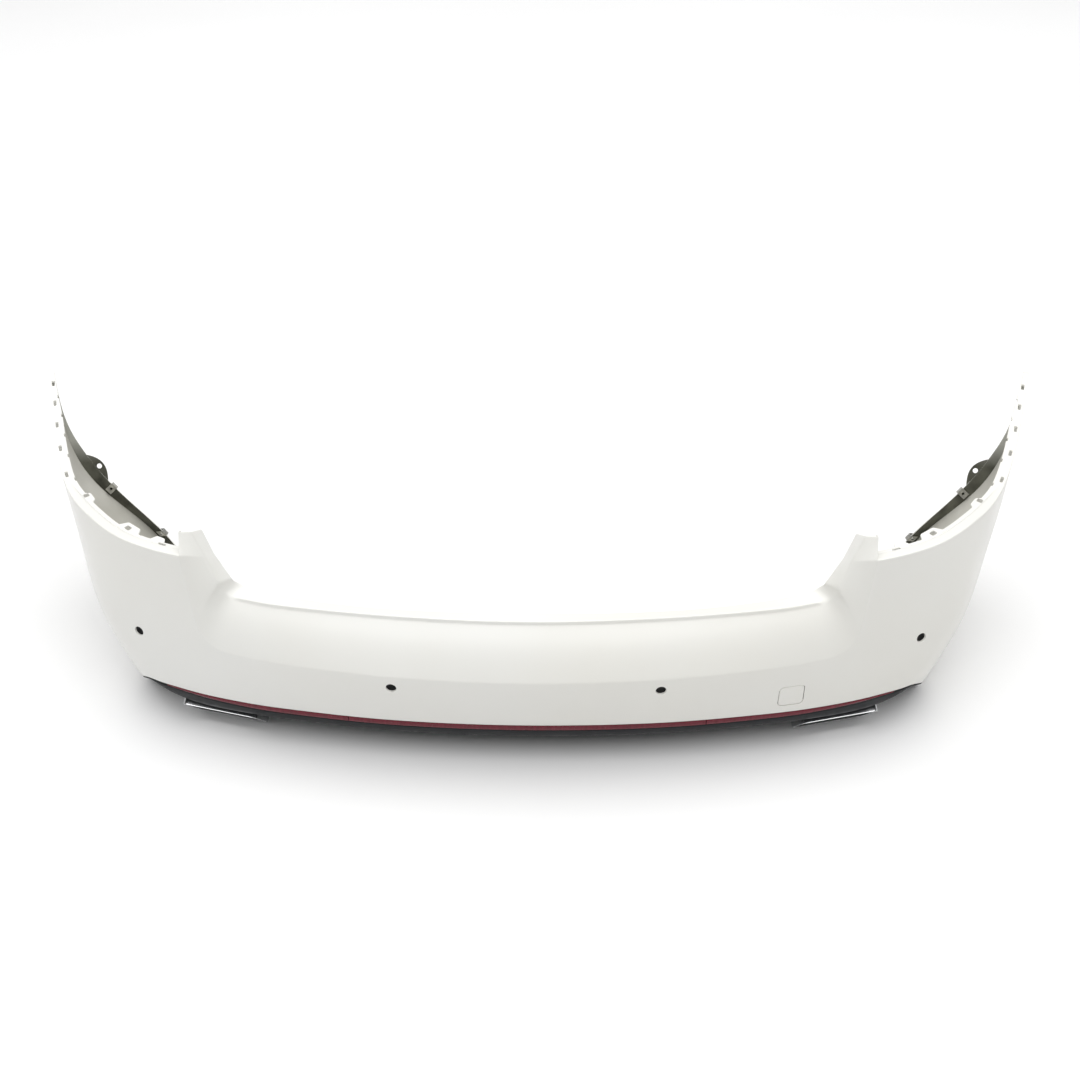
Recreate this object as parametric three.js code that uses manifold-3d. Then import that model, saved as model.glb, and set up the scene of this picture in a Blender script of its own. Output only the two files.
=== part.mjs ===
// Rear bumper cover: a painted skin with its lower valance, reflector strip,
// exhaust trims, towing-eye cover, sensor holders and fasteners.
// Millimetres. +Z up, the car's rear faces -Y, the wings run forward to +Y.
// Built on the right half (+X) and mirrored. Heights are above the lower edge.
import * as THREE from "three";
import { mergeVertices } from "three/addons/utils/BufferGeometryUtils.js";
import Module from "manifold-3d";

const wasm = await Module();
wasm.setup();

// ---- driving dimensions -------------------------------------------------
const FRAME_Y = -301.6; // moves the middle of the depth onto the origin
const WALL = 3; // thickness of the moulded skin and valance
const GAP = 0.5; // clearance between neighbouring pieces

// The outer surface: plan points [x, y] of ten columns, from the centre line
// (0) to the wheel arch (9), each at four heights.
const HEIGHTS = [0, 95, 195, 350];
const COLUMNS = [
  [[0, 6], [0, -3], [0, -6], [0, 30]],
  [[210, 14], [210, 5], [210, 5], [210, 42]],
  [[392, 36], [392, 27], [392, 32], [392, 80]],
  [[488, 58], [490, 46], [490, 58], [490, 104]],
  [[562, 84], [570, 69], [570, 82], [570, 132]],
  [[628, 120], [640, 100], [647, 112], [645, 174]],
  [[682, 188], [697, 168], [711, 166], [705, 227]],
  [[722, 275], [748, 265], [766, 280], [767, 297]],
  [[718, 380], [760, 380], [805, 388], [820, 405]],
  [[690, 480], [726, 480], [817, 480], [884, 594]],
];
const LAST = COLUMNS.length - 1;
const ARCH = { y: 820, z: 90, radius: 345 }; // wheel-arch circle, seen from the side

const TOP_EDGE = { at: [3.6, 5, 6, 7, 8, 9], z: [347, 338, 334, 330, 338, 361] };
const STRIP_EDGE_Z = 95; // lower edge of the painted skin above the strip
const SKIN_DIVE = [4.75, 6.3]; // columns between which that edge drops to the floor

// The crease under the load sill: level, then an arc, then up beside the ear.
const CREASE = { z: 197, x: 475, radius: 48, topX: 538, topZ: 347 };
const EAR_TAPER = 0.75; // the ear's depth lost from its foot to its top
const EAR_TOP = [540, 146, 372];
// Sill edge (upper rim of the sloping band) and flange edge, as offsets from the
// crease at these crease stations.
const CURVE_AT = [0, 0.6, 1, 1.5, 2, 3, 4];
const SILL = [
  [0, 65, 64], [0, 63, 64], [-20, 52, 65], [-33, 46, 58], [-39, 32, 49], [-37, 13, -14], [-19, 3, -2],
];
const FLANGE = [
  [0, 87, 68], [0, 84, 66], [-28, 77, 70], [-51, 68, 62], [-56, 53, 40], [-43, 38, -29], [-27, 30, -20],
];
const RISER = 5; // step up from the band to the flange
const CROSS = [0, 0.35, 0.5, 1]; // points across every turned-in flange
const LEDGE = { shoulder: 15.5, width: 25, wingWidth: 19, tipWidth: 11, drop: 4 };
const HEM = { strip: 16, wing: 22 };
const ARCH_FLANGE = { at: [0, 100, 190, 240, 270, 300, 361], width: [22, 30, 28, 20, 12, 8, 11] };

const STRIP = { height: 12, endHeight: 3, taper: [1.5, 4.45], depth: 11, split: 288, end: 598 };
const DIVE_GAP = { more: 4, fade: [4.7, 5.1] }; // the joint opens where the skin's edge dives
// Below its lip the valance draws in by the recess, which fades out round the corner.
const VALANCE = { recess: 84, fade: [5.1, 5.9], foot: 28, endZ: 12 };
const LIP = { at: [0, 2.5, 3.6, 4.15, 4.45, 4.75, 4.95], z: [66, 66, 62, 64, 74, 86, 96] };
const SENSOR = { hole: 8.2, inner: [211, 174], outer: [629, 195], ring: 16 };
const TOW = { x: 421, z: 133, width: 41, height: 42, corner: 8 };
// Exhaust openings: top corners of the rim [x, y], which rakes forward going down.
const TRIM = { inner: [438, 34], outer: [579, 67], low: 8, high: 61, rake: 0.7, wall: 3, depth: 45 };
const FINS = [70, 215];

// ---- curves -------------------------------------------------------------
const lerp = (a, b, t) => a + (b - a) * t;
const smooth = (a, b, t) => THREE.MathUtils.smoothstep(t, a, b);

// Smooth curve through values at rising knots, straight beyond its ends.
function through(knots, values, t) {
  const last = knots.length - 1;
  const rise = (i) => (values[i + 1] - values[i]) / (knots[i + 1] - knots[i]);
  const slope = (i) => {
    if (i === 0) return rise(0);
    if (i === last) return rise(last - 1);
    const before = knots[i] - knots[i - 1];
    const after = knots[i + 1] - knots[i];
    return (rise(i - 1) * after + rise(i) * before) / (before + after);
  };
  if (t <= knots[0]) return values[0] + slope(0) * (t - knots[0]);
  if (t >= knots[last]) return values[last] + slope(last) * (t - knots[last]);
  let i = 0;
  while (t > knots[i + 1]) i += 1;
  const step = knots[i + 1] - knots[i];
  const u = (t - knots[i]) / step;
  const startPart = (2 * u ** 3 - 3 * u ** 2 + 1) * values[i];
  const endPart = (3 * u ** 2 - 2 * u ** 3) * values[i + 1];
  const startSlope = (u ** 3 - 2 * u ** 2 + u) * slope(i) * step;
  const endSlope = (u ** 3 - u ** 2) * slope(i + 1) * step;
  return startPart + endPart + startSlope + endSlope;
}

const archY = (z) => ARCH.y - Math.sqrt(ARCH.radius ** 2 - (z - ARCH.z) ** 2);

// Point of the outer surface at a column parameter and a height.
function surface(column, z) {
  const plan = (k) => COLUMNS.map((c) => through(HEIGHTS, c.map((p) => p[k]), z));
  const xs = plan(0);
  const ys = plan(1);
  ys[LAST] = archY(z);
  const knots = [-1, ...COLUMNS.keys()];
  const x = through(knots, [-xs[1], ...xs], column);
  return new THREE.Vector3(x, through(knots, [ys[1], ...ys], column), z);
}

// Column parameter at which the surface reaches a half-width, at one height.
function columnAt(x, z) {
  let low = 0;
  let high = LAST;
  for (let i = 0; i < 40; i += 1) {
    const middle = (low + high) / 2;
    if (surface(middle, z).x < x) low = middle;
    else high = middle;
  }
  return low;
}

// Unit vectors of the surface in plan: along the body, and in towards the car.
function planFrame(column, z) {
  const step = 0.02;
  if (column === 0) return { along: new THREE.Vector3(1, 0, 0), inward: new THREE.Vector3(0, 1, 0) };
  const from = surface(Math.max(column - step, 0), z);
  const to = surface(Math.min(column + step, LAST), z);
  const along = to.sub(from).setZ(0).normalize();
  return { along, inward: new THREE.Vector3(-along.y, along.x, 0) };
}

// ---- stations -----------------------------------------------------------
// Crease stations: 0-1 level, 1-2 arc, 2-3 rising, 3-4 outer edge of the ear.
function creasePoint(station) {
  let x = CREASE.x * Math.min(station, 1);
  let z = CREASE.z;
  if (station > 1) {
    const turn = (Math.min(station, 2) - 1) * Math.PI / 2;
    x += CREASE.radius * Math.sin(turn);
    z += CREASE.radius * (1 - Math.cos(turn));
  }
  if (station > 2) {
    const t = Math.min(station, 3) - 2;
    x = lerp(x, CREASE.topX, t);
    z = lerp(z, CREASE.topZ, t);
  }
  const edge = surface(columnAt(x, z), z);
  if (station <= 3) return edge;
  return edge.lerp(new THREE.Vector3(...EAR_TOP), station - 3);
}

// Point of the sill or the flange edge: smooth round the bend, then straight runs.
function curvePoint(curve, station) {
  const bend = CURVE_AT.indexOf(2);
  const shift = [0, 1, 2].map((k) => {
    if (station > 3) return lerp(curve[bend + 1][k], curve[bend + 2][k], station - 3);
    if (station > 2) return lerp(curve[bend][k], curve[bend + 1][k], station - 2);
    return through(CURVE_AT.slice(0, bend + 1), curve.map((p) => p[k]), station);
  });
  return creasePoint(station).add(new THREE.Vector3(...shift));
}

function steps(from, to, count) {
  return Array.from({ length: count + 1 }, (_, i) => lerp(from, to, i / count));
}

const LEVEL = steps(0, 1, 10);
const TURN = steps(1, 2, 5).slice(1);
const CLIMB = steps(2, 3, 4).slice(1);
const EAR = steps(3, 4, 3).slice(1);
const BEND_X = 560; // half-width of the lower edge below the top of the crease
const CORNER = columnAt(CREASE.topX, CREASE.topZ);

// Column of the lower edge below each crease station.
function lowerColumn(station) {
  const x = station < 1 ? CREASE.x * station : lerp(CREASE.x, BEND_X, (station - 1) / 2);
  return columnAt(x, STRIP_EDGE_Z);
}

const skinEdgeZ = (column) => STRIP_EDGE_Z * (1 - smooth(...SKIN_DIVE, column));
const WING_STEPS = 16;
const FRONT = [...LEVEL, ...TURN, ...CLIMB];
const LOWER_BEND = lowerColumn(3);
const WING = steps(0, 1, WING_STEPS).slice(1);
const LOWER = [...FRONT.map(lowerColumn), ...WING.map((t) => lerp(LOWER_BEND, LAST, t))];
const UPPER_WING = [0, ...WING].map((t) => lerp(CORNER, LAST, t));
const topEdgeZ = (column) => through(TOP_EDGE.at, TOP_EDGE.z, column);

// ---- sheets made solid --------------------------------------------------
// Turns grids of points that share their borders into one closed shell.
function shell(grids, thickness) {
  const position = [];
  const index = [];
  for (const grid of grids) {
    const width = grid[0].length;
    const base = position.length / 3;
    grid.flat().forEach((p) => position.push(p.x, p.y, p.z));
    for (let r = 0; r < grid.length - 1; r += 1) {
      for (let c = 0; c < width - 1; c += 1) {
        const a = base + r * width + c;
        index.push(a, a + 1, a + width + 1, a, a + width + 1, a + width);
      }
    }
  }
  const sheet = new THREE.BufferGeometry();
  sheet.setAttribute("position", new THREE.Float32BufferAttribute(position, 3));
  sheet.setIndex(index);
  return thicken(mergeVertices(sheet, 0.01), thickness);
}

function thicken(sheet, thickness) {
  sheet.computeVertexNormals();
  const { position, normal } = sheet.attributes;
  const count = position.count;
  const points = [...position.array];
  for (let i = 0; i < count; i += 1) {
    points.push(position.getX(i) - normal.getX(i) * thickness);
    points.push(position.getY(i) - normal.getY(i) * thickness);
    points.push(position.getZ(i) - normal.getZ(i) * thickness);
  }
  const faces = [];
  const border = new Set();
  const old = sheet.index.array;
  for (let i = 0; i < old.length; i += 3) {
    const [a, b, c] = [old[i], old[i + 1], old[i + 2]];
    if (a === b || b === c || c === a) continue;
    faces.push(a, b, c, c + count, b + count, a + count);
    for (const [p, q] of [[a, b], [b, c], [c, a]]) {
      if (!border.delete(`${q} ${p}`)) border.add(`${p} ${q}`);
    }
  }
  for (const edge of border) {
    const [p, q] = edge.split(" ").map(Number);
    faces.push(q, p, p + count, q, p + count, q + count);
  }
  return fromArrays(points, faces);
}

function fromArrays(points, faces) {
  const geometry = new THREE.BufferGeometry();
  geometry.setAttribute("position", new THREE.Float32BufferAttribute(points, 3));
  geometry.setIndex(faces);
  return geometry;
}

// A bar of one closed section per station, each section a ring of points.
function bar(rings) {
  const sides = rings[0].length;
  const points = rings.flat().flatMap((p) => [p.x, p.y, p.z]);
  const faces = [];
  for (let r = 0; r < rings.length - 1; r += 1) {
    for (let i = 0; i < sides; i += 1) {
      const a = r * sides + i;
      const b = r * sides + (i + 1) % sides;
      faces.push(a, b, b + sides, a, b + sides, a + sides);
    }
  }
  const end = (rings.length - 1) * sides;
  for (let i = 1; i < sides - 1; i += 1) {
    faces.push(0, i + 1, i, end, end + i, end + i + 1);
  }
  return fromArrays(points, faces);
}

const mirrored = (grid) => grid.map((row) => row.map((p) => new THREE.Vector3(-p.x, p.y, p.z)).reverse());
const reversed = (grid) => grid.map((row) => [...row].reverse());

// ---- joining and cutting ------------------------------------------------
function solid(geometry) {
  const plain = geometry.clone();
  plain.deleteAttribute("normal");
  plain.deleteAttribute("uv");
  const merged = mergeVertices(plain, 1e-4);
  return new wasm.Manifold(new wasm.Mesh({
    numProp: 3,
    vertProperties: Float32Array.from(merged.attributes.position.array),
    triVerts: Uint32Array.from(merged.index.array),
  }));
}

function geometryOf(manifold) {
  const mesh = manifold.getMesh();
  return fromArrays([...mesh.vertProperties], [...mesh.triVerts]);
}

const cut = (body, tools) => tools.reduce((rest, tool) => rest.subtract(solid(tool)), body);
const join = (body, pieces) => pieces.reduce((rest, piece) => rest.add(solid(piece)), body);

const flip = (geometry) => {
  const copy = geometry.clone().applyMatrix4(new THREE.Matrix4().makeScale(-1, 1, 1));
  const index = copy.index ? copy.index.array : [...Array(copy.attributes.position.count).keys()];
  copy.setIndex([...index].reverse());
  return copy;
};
const bothSides = (geometries) => [...geometries, ...geometries.map(flip)];

// Places a geometry with its x, y, z along three directions, at a point.
function placed(geometry, x, y, z, at) {
  return geometry.applyMatrix4(new THREE.Matrix4().makeBasis(x, y, z).setPosition(at));
}

const UP = new THREE.Vector3(0, 0, 1);

// ---- outlines -----------------------------------------------------------
function roundedRect(width, height, radius, target = new THREE.Shape()) {
  const w = width / 2;
  const h = height / 2;
  target.moveTo(-w + radius, -h);
  target.lineTo(w - radius, -h);
  target.absarc(w - radius, -h + radius, radius, -Math.PI / 2, 0);
  target.lineTo(w, h - radius);
  target.absarc(w - radius, h - radius, radius, 0, Math.PI / 2);
  target.lineTo(-w + radius, h);
  target.absarc(-w + radius, h - radius, radius, Math.PI / 2, Math.PI);
  target.lineTo(-w, -h + radius);
  target.absarc(-w + radius, -h + radius, radius, Math.PI, Math.PI * 1.5);
  target.closePath();
  return target;
}

function prism(shape, depth, curveSegments = 4) {
  return new THREE.ExtrudeGeometry(shape, { depth, bevelEnabled: false, curveSegments });
}

function disc(radius, depth, segments = 16) {
  return new THREE.CylinderGeometry(radius, radius, depth, segments).rotateX(Math.PI / 2);
}

function ringShape(outer, inner) {
  const shape = new THREE.Shape().absarc(0, 0, outer, 0, Math.PI * 2);
  shape.holes.push(new THREE.Path().absarc(0, 0, inner, 0, Math.PI * 2, true));
  return shape;
}

// ---- the skin -----------------------------------------------------------
const FACE_ROWS = 8;

function faceGrid() {
  const tops = [...FRONT.map(creasePoint), ...UPPER_WING.slice(1).map((c) => surface(c, topEdgeZ(c)))];
  const topColumns = [...FRONT.map((s) => creaseColumn(s)), ...UPPER_WING.slice(1)];
  return steps(0, 1, FACE_ROWS).map((t) => LOWER.map((column, i) => {
    if (t === 1) return tops[i];
    const z = lerp(skinEdgeZ(column), tops[i].z, t);
    return surface(lerp(column, topColumns[i], t), z);
  }));
}

function creaseColumn(station) {
  const p = creasePoint(station);
  return columnAt(p.x, p.z);
}

// The sloping band between the crease and the sill, up to the top of the ear.
function bandGrid() {
  const stations = [...FRONT, ...EAR];
  return steps(0, 1, 3).map((t) => stations.map((s) => {
    const bulge = 3 * Math.sin(Math.PI * t);
    return creasePoint(s).lerp(curvePoint(SILL, s), t).add(new THREE.Vector3(0, -bulge, bulge));
  }));
}

// The step up and the flange along the tailgate opening.
function flangeGrid() {
  const stations = [...FRONT, ...EAR];
  const sill = stations.map((s) => curvePoint(SILL, s));
  const rim = stations.map((s) => curvePoint(FLANGE, s));
  const step = stations.map((s, i) => {
    const fade = 1 - smooth(0.8, 1.6, s);
    const up = new THREE.Vector3(0, 1.5, RISER).multiplyScalar(fade);
    const across = rim[i].clone().sub(sill[i]).setLength(4 * (1 - fade));
    return sill[i].clone().add(up).add(across);
  });
  const middle = step.map((p, i) => p.clone().lerp(rim[i], 0.5));
  return [sill, step, middle, rim];
}

function ledgeWidth(column) {
  const width = lerp(LEDGE.width, LEDGE.wingWidth, smooth(6.6, 7.3, column));
  return lerp(width, LEDGE.tipWidth, smooth(8.3, 9, column));
}

// Cross points of the ledge below the lamp and of the wing's top flange.
function ledgePoint(column, i) {
  const z = topEdgeZ(column);
  const { inward } = planFrame(column, z);
  const onWing = smooth(6.6, 7.3, column);
  const width = ledgeWidth(column);
  const offsets = [0, LEDGE.shoulder, LEDGE.shoulder + 1.5, width];
  const drops = [0, 0, LEDGE.drop, LEDGE.drop];
  const offset = lerp(offsets[i], CROSS[i] * width, onWing);
  return surface(column, z).addScaledVector(inward, offset).setZ(z - drops[i] * (1 - onWing));
}

function ledgeGrid() {
  return CROSS.map((_, i) => UPPER_WING.map((c) => ledgePoint(c, i)));
}

// The small wall that closes the ear towards the lamp.
function earSideGrid() {
  const depth = ledgePoint(CORNER, 1).sub(ledgePoint(CORNER, 0));
  const edge = [3, ...EAR].map(creasePoint);
  const back = [3, ...EAR].map((s) => creasePoint(s).addScaledVector(depth, 1 - EAR_TAPER * (s - 3)));
  return [edge, back];
}

// The turned-in lower edge: the hem.
function hemGrid() {
  return CROSS.map((cross) => LOWER.map((column) => {
    const z = skinEdgeZ(column);
    const width = lerp(HEM.strip, HEM.wing, smooth(...SKIN_DIVE, column));
    return surface(column, z).addScaledVector(planFrame(column, z).inward, cross * width);
  }));
}

// The flange around the wheel arch, from the hem up to the wing's tip.
function archGrid() {
  const top = topEdgeZ(LAST);
  const heights = steps(0, 1, FACE_ROWS).map((t) => lerp(0, top, t));
  return heights.map((z) => CROSS.map((cross, i) => (z === top ? ledgePoint(LAST, i) : archPoint(z, cross))));
}

function archPoint(z, cross) {
  const width = through(ARCH_FLANGE.at, ARCH_FLANGE.width, z);
  return surface(LAST, z).addScaledVector(planFrame(LAST, z).inward, cross * width);
}

// Plan frame on the ledge or the wing flange, at a distance in from its edge.
function onLedge(column, offset) {
  const z = topEdgeZ(column);
  const { along, inward } = planFrame(column, z);
  const drop = LEDGE.drop * (1 - smooth(6.6, 7.3, column));
  const at = surface(column, z).addScaledVector(inward, offset).setZ(z - drop);
  return { along, inward, at };
}

const LEDGE_TABS = [ // column, half-length along the edge, reach in from the edge
  { column: 4.32, half: 16, reach: 34 },
  { column: 5.12, half: 27, reach: 37 },
  { column: 6.68, half: 20, reach: 31 },
];
const LEDGE_HOLES = [ // column, distance in from the edge, length, width
  { column: 4.16, offset: 20, length: 15, width: 4 },
  { column: 4.77, offset: 26, length: 7, width: 4 },
  { column: 5.18, offset: 27, length: 11, width: 8 },
  { column: 6.76, offset: 22.5, length: 9, width: 9 },
];
const WING_SLOTS = [7.39, 7.95, 8.31, 8.58, 8.81];

function ledgeTabs() {
  return LEDGE_TABS.map(({ column, half, reach }) => {
    const { along, inward, at } = onLedge(column, 0);
    const inner = LEDGE.width - 6;
    const outline = new THREE.Shape([
      new THREE.Vector2(-half, inner), new THREE.Vector2(half, inner),
      new THREE.Vector2(half * 0.62, reach), new THREE.Vector2(-half * 0.62, reach),
    ]);
    return placed(prism(outline, WALL - 0.4), along, inward, UP, at.setZ(at.z - WALL + 0.2));
  });
}

function ledgeCuts() {
  const slots = WING_SLOTS.map((column) => ({ column, offset: 7.5, length: 14, width: 5 }));
  const notches = WING_SLOTS.map((slot) => {
    const column = slot - 0.16;
    return { column, offset: ledgeWidth(column) + 1, length: 9, width: 7 };
  });
  return [...LEDGE_HOLES, ...slots, ...notches].map(({ column, offset, length, width }) => {
    const { along, inward, at } = onLedge(column, offset);
    const hole = new THREE.BoxGeometry(length, width, 5 * WALL);
    return placed(hole, along, inward, UP, at);
  });
}

// Frame at the free edge of the arch flange: inward, up along it, and forward.
function onArch(z) {
  const climb = archPoint(z + 2, 1).sub(archPoint(z - 2, 1)).normalize();
  const across = archPoint(z, 1).sub(archPoint(z, 0.7));
  const forward = new THREE.Vector3().crossVectors(across, climb).normalize();
  const side = new THREE.Vector3().crossVectors(climb, forward).normalize();
  return { side, climb, forward, at: archPoint(z, 1) };
}

const ARCH_EAR = { z: 213, half: 23, reach: 15, root: 8, holeAt: 6, hole: 4.6 };
const NUT_ROWS = { upper: 4, lower: 2 }; // rows of the arch edge that carry a spring nut

// A rounded lug that follows the free edge of the arch flange.
const EAR_SINK = 0.5; // how much thinner the lug is than the flange it grows from

function archEar() {
  const rings = steps(-1, 1, 10).map((t) => {
    const { side, forward, at } = onArch(ARCH_EAR.z + ARCH_EAR.half * t);
    const corner = (out, depth) => at.clone().addScaledVector(side, out).addScaledVector(forward, depth);
    const reach = ARCH_EAR.reach * (1 - t * t) - EAR_SINK;
    const [front, back] = [-EAR_SINK / 2, EAR_SINK / 2 - WALL];
    const root = -ARCH_EAR.root;
    return [corner(root, front), corner(reach, front), corner(reach, back), corner(root, back)];
  });
  return bar(rings);
}

function archBore() {
  const { side, climb, forward, at } = onArch(ARCH_EAR.z);
  return placed(disc(ARCH_EAR.hole, 16), side, climb, forward, at.addScaledVector(side, ARCH_EAR.holeAt));
}

// Outward direction of the surface at a half-width and height.
function outwardAt(x, z) {
  const column = columnAt(x, z);
  const { along } = planFrame(column, z);
  const up = surface(column, z + 5).sub(surface(column, z - 5)).normalize();
  return { at: surface(column, z), along, outward: new THREE.Vector3().crossVectors(along, up).normalize() };
}

const SENSOR_PLACES = { inner: SENSOR.inner, outer: SENSOR.outer };

function sensorFrame([x, z]) {
  const { at, along, outward } = outwardAt(x, z);
  const up = new THREE.Vector3().crossVectors(outward, along).normalize();
  return { at, along, up, outward };
}

function sensorCuts() {
  return Object.values(SENSOR_PLACES).map((place) => {
    const { at, along, up, outward } = sensorFrame(place);
    return placed(disc(SENSOR.hole, 30), along, up, outward, at);
  });
}

function towPrism(margin) {
  const outline = roundedRect(TOW.width + 2 * margin, TOW.height + 2 * margin, TOW.corner + margin);
  const y = surface(columnAt(TOW.x, TOW.z), TOW.z).y;
  const across = new THREE.Vector3(1, 0, 0);
  const back = new THREE.Vector3(0, -1, 0);
  return placed(prism(outline, 60), across, UP, back, new THREE.Vector3(TOW.x, y + 30, TOW.z));
}

const SCREW = { columns: [5.25, 5.55], offset: 9, radius: 2.2, head: 5, headHeight: 2.6 };

// Frame of a valance screw: along the hem, in from its edge, and up through it.
function screwFrame(column) {
  const edge = (c) => surface(c, skinEdgeZ(c));
  const along = edge(column + 0.05).sub(edge(column - 0.05)).normalize();
  const { inward } = planFrame(column, skinEdgeZ(column));
  const up = new THREE.Vector3().crossVectors(along, inward).normalize();
  const across = new THREE.Vector3().crossVectors(up, along);
  return { along, across, up, at: edge(column).addScaledVector(inward, SCREW.offset) };
}

function screwRod(column, radius, length, start, segments) {
  const { along, across, up, at } = screwFrame(column);
  const middle = at.clone().addScaledVector(up, start + length / 2);
  return placed(disc(radius, length, segments), along, across, up, middle);
}

function screwHoles() {
  return SCREW.columns.map((column) => screwRod(column, SCREW.radius + GAP, 24, -12, 8));
}

function skinShell() {
  const grids = [
    faceGrid(), bandGrid(), flangeGrid(), ledgeGrid(),
    reversed(earSideGrid()), reversed(hemGrid()), archGrid(),
  ];
  return shell([...grids, ...grids.map(mirrored)], WALL);
}

const blank = solid(skinShell());
const towHole = towPrism(GAP);
const skin = cut(join(blank, bothSides([...ledgeTabs(), archEar()])), [
  ...bothSides([...ledgeCuts(), ...sensorCuts(), ...screwHoles(), archBore()]), towHole,
]);

// ---- towing-eye cover ---------------------------------------------------
function towCover() {
  const face = blank.intersect(solid(towPrism(-GAP)));
  const y = surface(columnAt(TOW.x, TOW.z), TOW.z).y;
  const legs = [-1, 1].map((side) => {
    const leg = new THREE.BoxGeometry(12, 14, 2.4);
    return leg.translate(TOW.x, y + 8.2, TOW.z + side * (TOW.height / 2 - 7));
  });
  return join(face, legs);
}

// ---- lower valance ------------------------------------------------------
const STRIP_COLUMN = columnAt(STRIP.end, STRIP_EDGE_Z); // outer end of the strip
const stripHeight = (column) => {
  const [start, end] = STRIP.taper;
  const t = THREE.MathUtils.clamp((column - start) / (end - start), 0, 1);
  return lerp(STRIP.height, STRIP.endHeight, t ** 2);
};
const hasStrip = (column) => 1 - smooth(STRIP_COLUMN + 0.15, STRIP_COLUMN + 0.45, column);
const valanceTopZ = (column) => {
  const gap = GAP * (1 + DIVE_GAP.more * smooth(...DIVE_GAP.fade, column));
  return skinEdgeZ(column) - gap - (stripHeight(column) + GAP) * hasStrip(column);
};

function valanceRing(column) {
  const top = valanceTopZ(column);
  const recess = VALANCE.recess * (1 - smooth(...VALANCE.fade, column));
  const lip = Math.min(through(LIP.at, LIP.z, column), top * 0.97);
  const strip = hasStrip(column);
  const profile = [
    [STRIP.depth + 2 + 6 * (1 - strip), top + strip * (stripHeight(column) - 1)],
    [STRIP.depth + 2, top], [0, top], [-1 * strip, lip], [recess * 0.3, top * 0.51],
    [recess * 0.74, top * 0.17], [recess, 0], [recess + VALANCE.foot, 0],
  ];
  return profile.map(([offset, z]) => {
    const { inward } = planFrame(column, z);
    return surface(column, z).addScaledVector(inward, offset);
  });
}

function valanceColumns() {
  return LOWER.filter((column) => valanceTopZ(column) > VALANCE.endZ);
}

function fin(x) {
  const wall = valanceRing(columnAt(x, STRIP_EDGE_Z)).slice(3, 7);
  const rooted = wall.map((p) => new THREE.Vector2(p.y + WALL * 0.6, p.z + 0.2));
  const front = new THREE.Vector2(wall[0].y + 4, wall[0].z - 8);
  const foot = new THREE.Vector2(wall[3].y - 26, 0.2);
  const outline = new THREE.Shape([front, foot, ...rooted.slice(1).reverse()]);
  const across = new THREE.Vector3(1, 0, 0);
  return placed(prism(outline, 6), new THREE.Vector3(0, 1, 0), UP, across, new THREE.Vector3(x - 3, 0, 0));
}

// Skewed frame of an exhaust opening: across it, up its raked rim, and out.
function trimFrame() {
  const [fromX, fromY] = TRIM.inner;
  const [toX, toY] = TRIM.outer;
  const width = toX - fromX;
  const height = TRIM.high - TRIM.low;
  const across = new THREE.Vector3(1, (toY - fromY) / width, 0);
  const rise = new THREE.Vector3(0, -TRIM.rake, 1);
  const middleY = (fromY + toY) / 2 + TRIM.rake * height / 2;
  const at = new THREE.Vector3((fromX + toX) / 2, middleY, (TRIM.low + TRIM.high) / 2);
  return { across, rise, out: new THREE.Vector3(0, -1, 0), at, width, height };
}

// Exhaust outline: a rounded box whose outer end leans in towards its top.
function trimOutline(inset, target = new THREE.Shape()) {
  const { width, height } = trimFrame();
  const w = width / 2 - inset;
  const h = height / 2 - inset;
  const lean = 12;
  const corners = [[-w, -h], [w - lean, -h], [w, h], [-w + lean, h]];
  const radius = 12 - Math.min(inset, 6);
  corners.forEach(([x, y], i) => {
    const before = new THREE.Vector2(...corners[(i + 3) % 4]);
    const after = new THREE.Vector2(...corners[(i + 1) % 4]);
    const corner = new THREE.Vector2(x, y);
    const start = corner.clone().add(before.sub(corner).setLength(radius));
    const end = corner.clone().add(after.sub(corner).setLength(radius));
    if (i === 0) target.moveTo(start.x, start.y);
    else target.lineTo(start.x, start.y);
    target.quadraticCurveTo(corner.x, corner.y, end.x, end.y);
  });
  target.closePath();
  return target;
}

function trimPiece(outerInset, innerInset, depth, front) {
  const { across, rise, out, at } = trimFrame();
  const outline = trimOutline(outerInset);
  if (innerInset !== null) outline.holes.push(trimOutline(innerInset, new THREE.Path()));
  return placed(prism(outline, depth, 3), across, rise, out, at.addScaledVector(out, front - depth));
}

const REFLECTOR_STUDS = [60, 220, 340, 480];
const STUD = { radius: 2, length: 9, nut: 4.6, nutDepth: 1.2 };

function studFrame(x) {
  const column = columnAt(x, STRIP_EDGE_Z);
  const z = STRIP_EDGE_Z - GAP - stripHeight(column) / 2;
  const { along, inward } = planFrame(column, STRIP_EDGE_Z);
  return { along, inward, at: surface(column, STRIP_EDGE_Z).setZ(z) };
}

function studRod(x, radius, from, length, segments = 8) {
  const { along, inward, at } = studFrame(x);
  const middle = at.clone().addScaledVector(inward, from + length / 2);
  const up = new THREE.Vector3().crossVectors(inward, along);
  return placed(disc(radius, length, segments), along, up, inward, middle);
}

function valance() {
  const grid = valanceColumns().map(valanceRing);
  const body = solid(shell([grid, mirrored(grid)], WALL));
  const fins = bothSides(FINS.map(fin));
  const openings = trimPiece(-GAP, null, 200, 60);
  const studHoles = REFLECTOR_STUDS.map((x) => studRod(x, STUD.radius + 0.4, 8, 14));
  return cut(join(body, fins), bothSides([openings, ...studHoles, ...screwHoles()]));
}

// ---- reflector strip ----------------------------------------------------
function stripRing(column) {
  const high = STRIP_EDGE_Z - GAP;
  const low = high - stripHeight(column) + 0.2;
  const { inward } = planFrame(column, high);
  const base = surface(column, STRIP_EDGE_Z);
  const corner = (offset, z) => base.clone().addScaledVector(inward, offset).setZ(z);
  return [corner(0, low), corner(STRIP.depth, low), corner(STRIP.depth, high), corner(0, high)];
}

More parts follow.
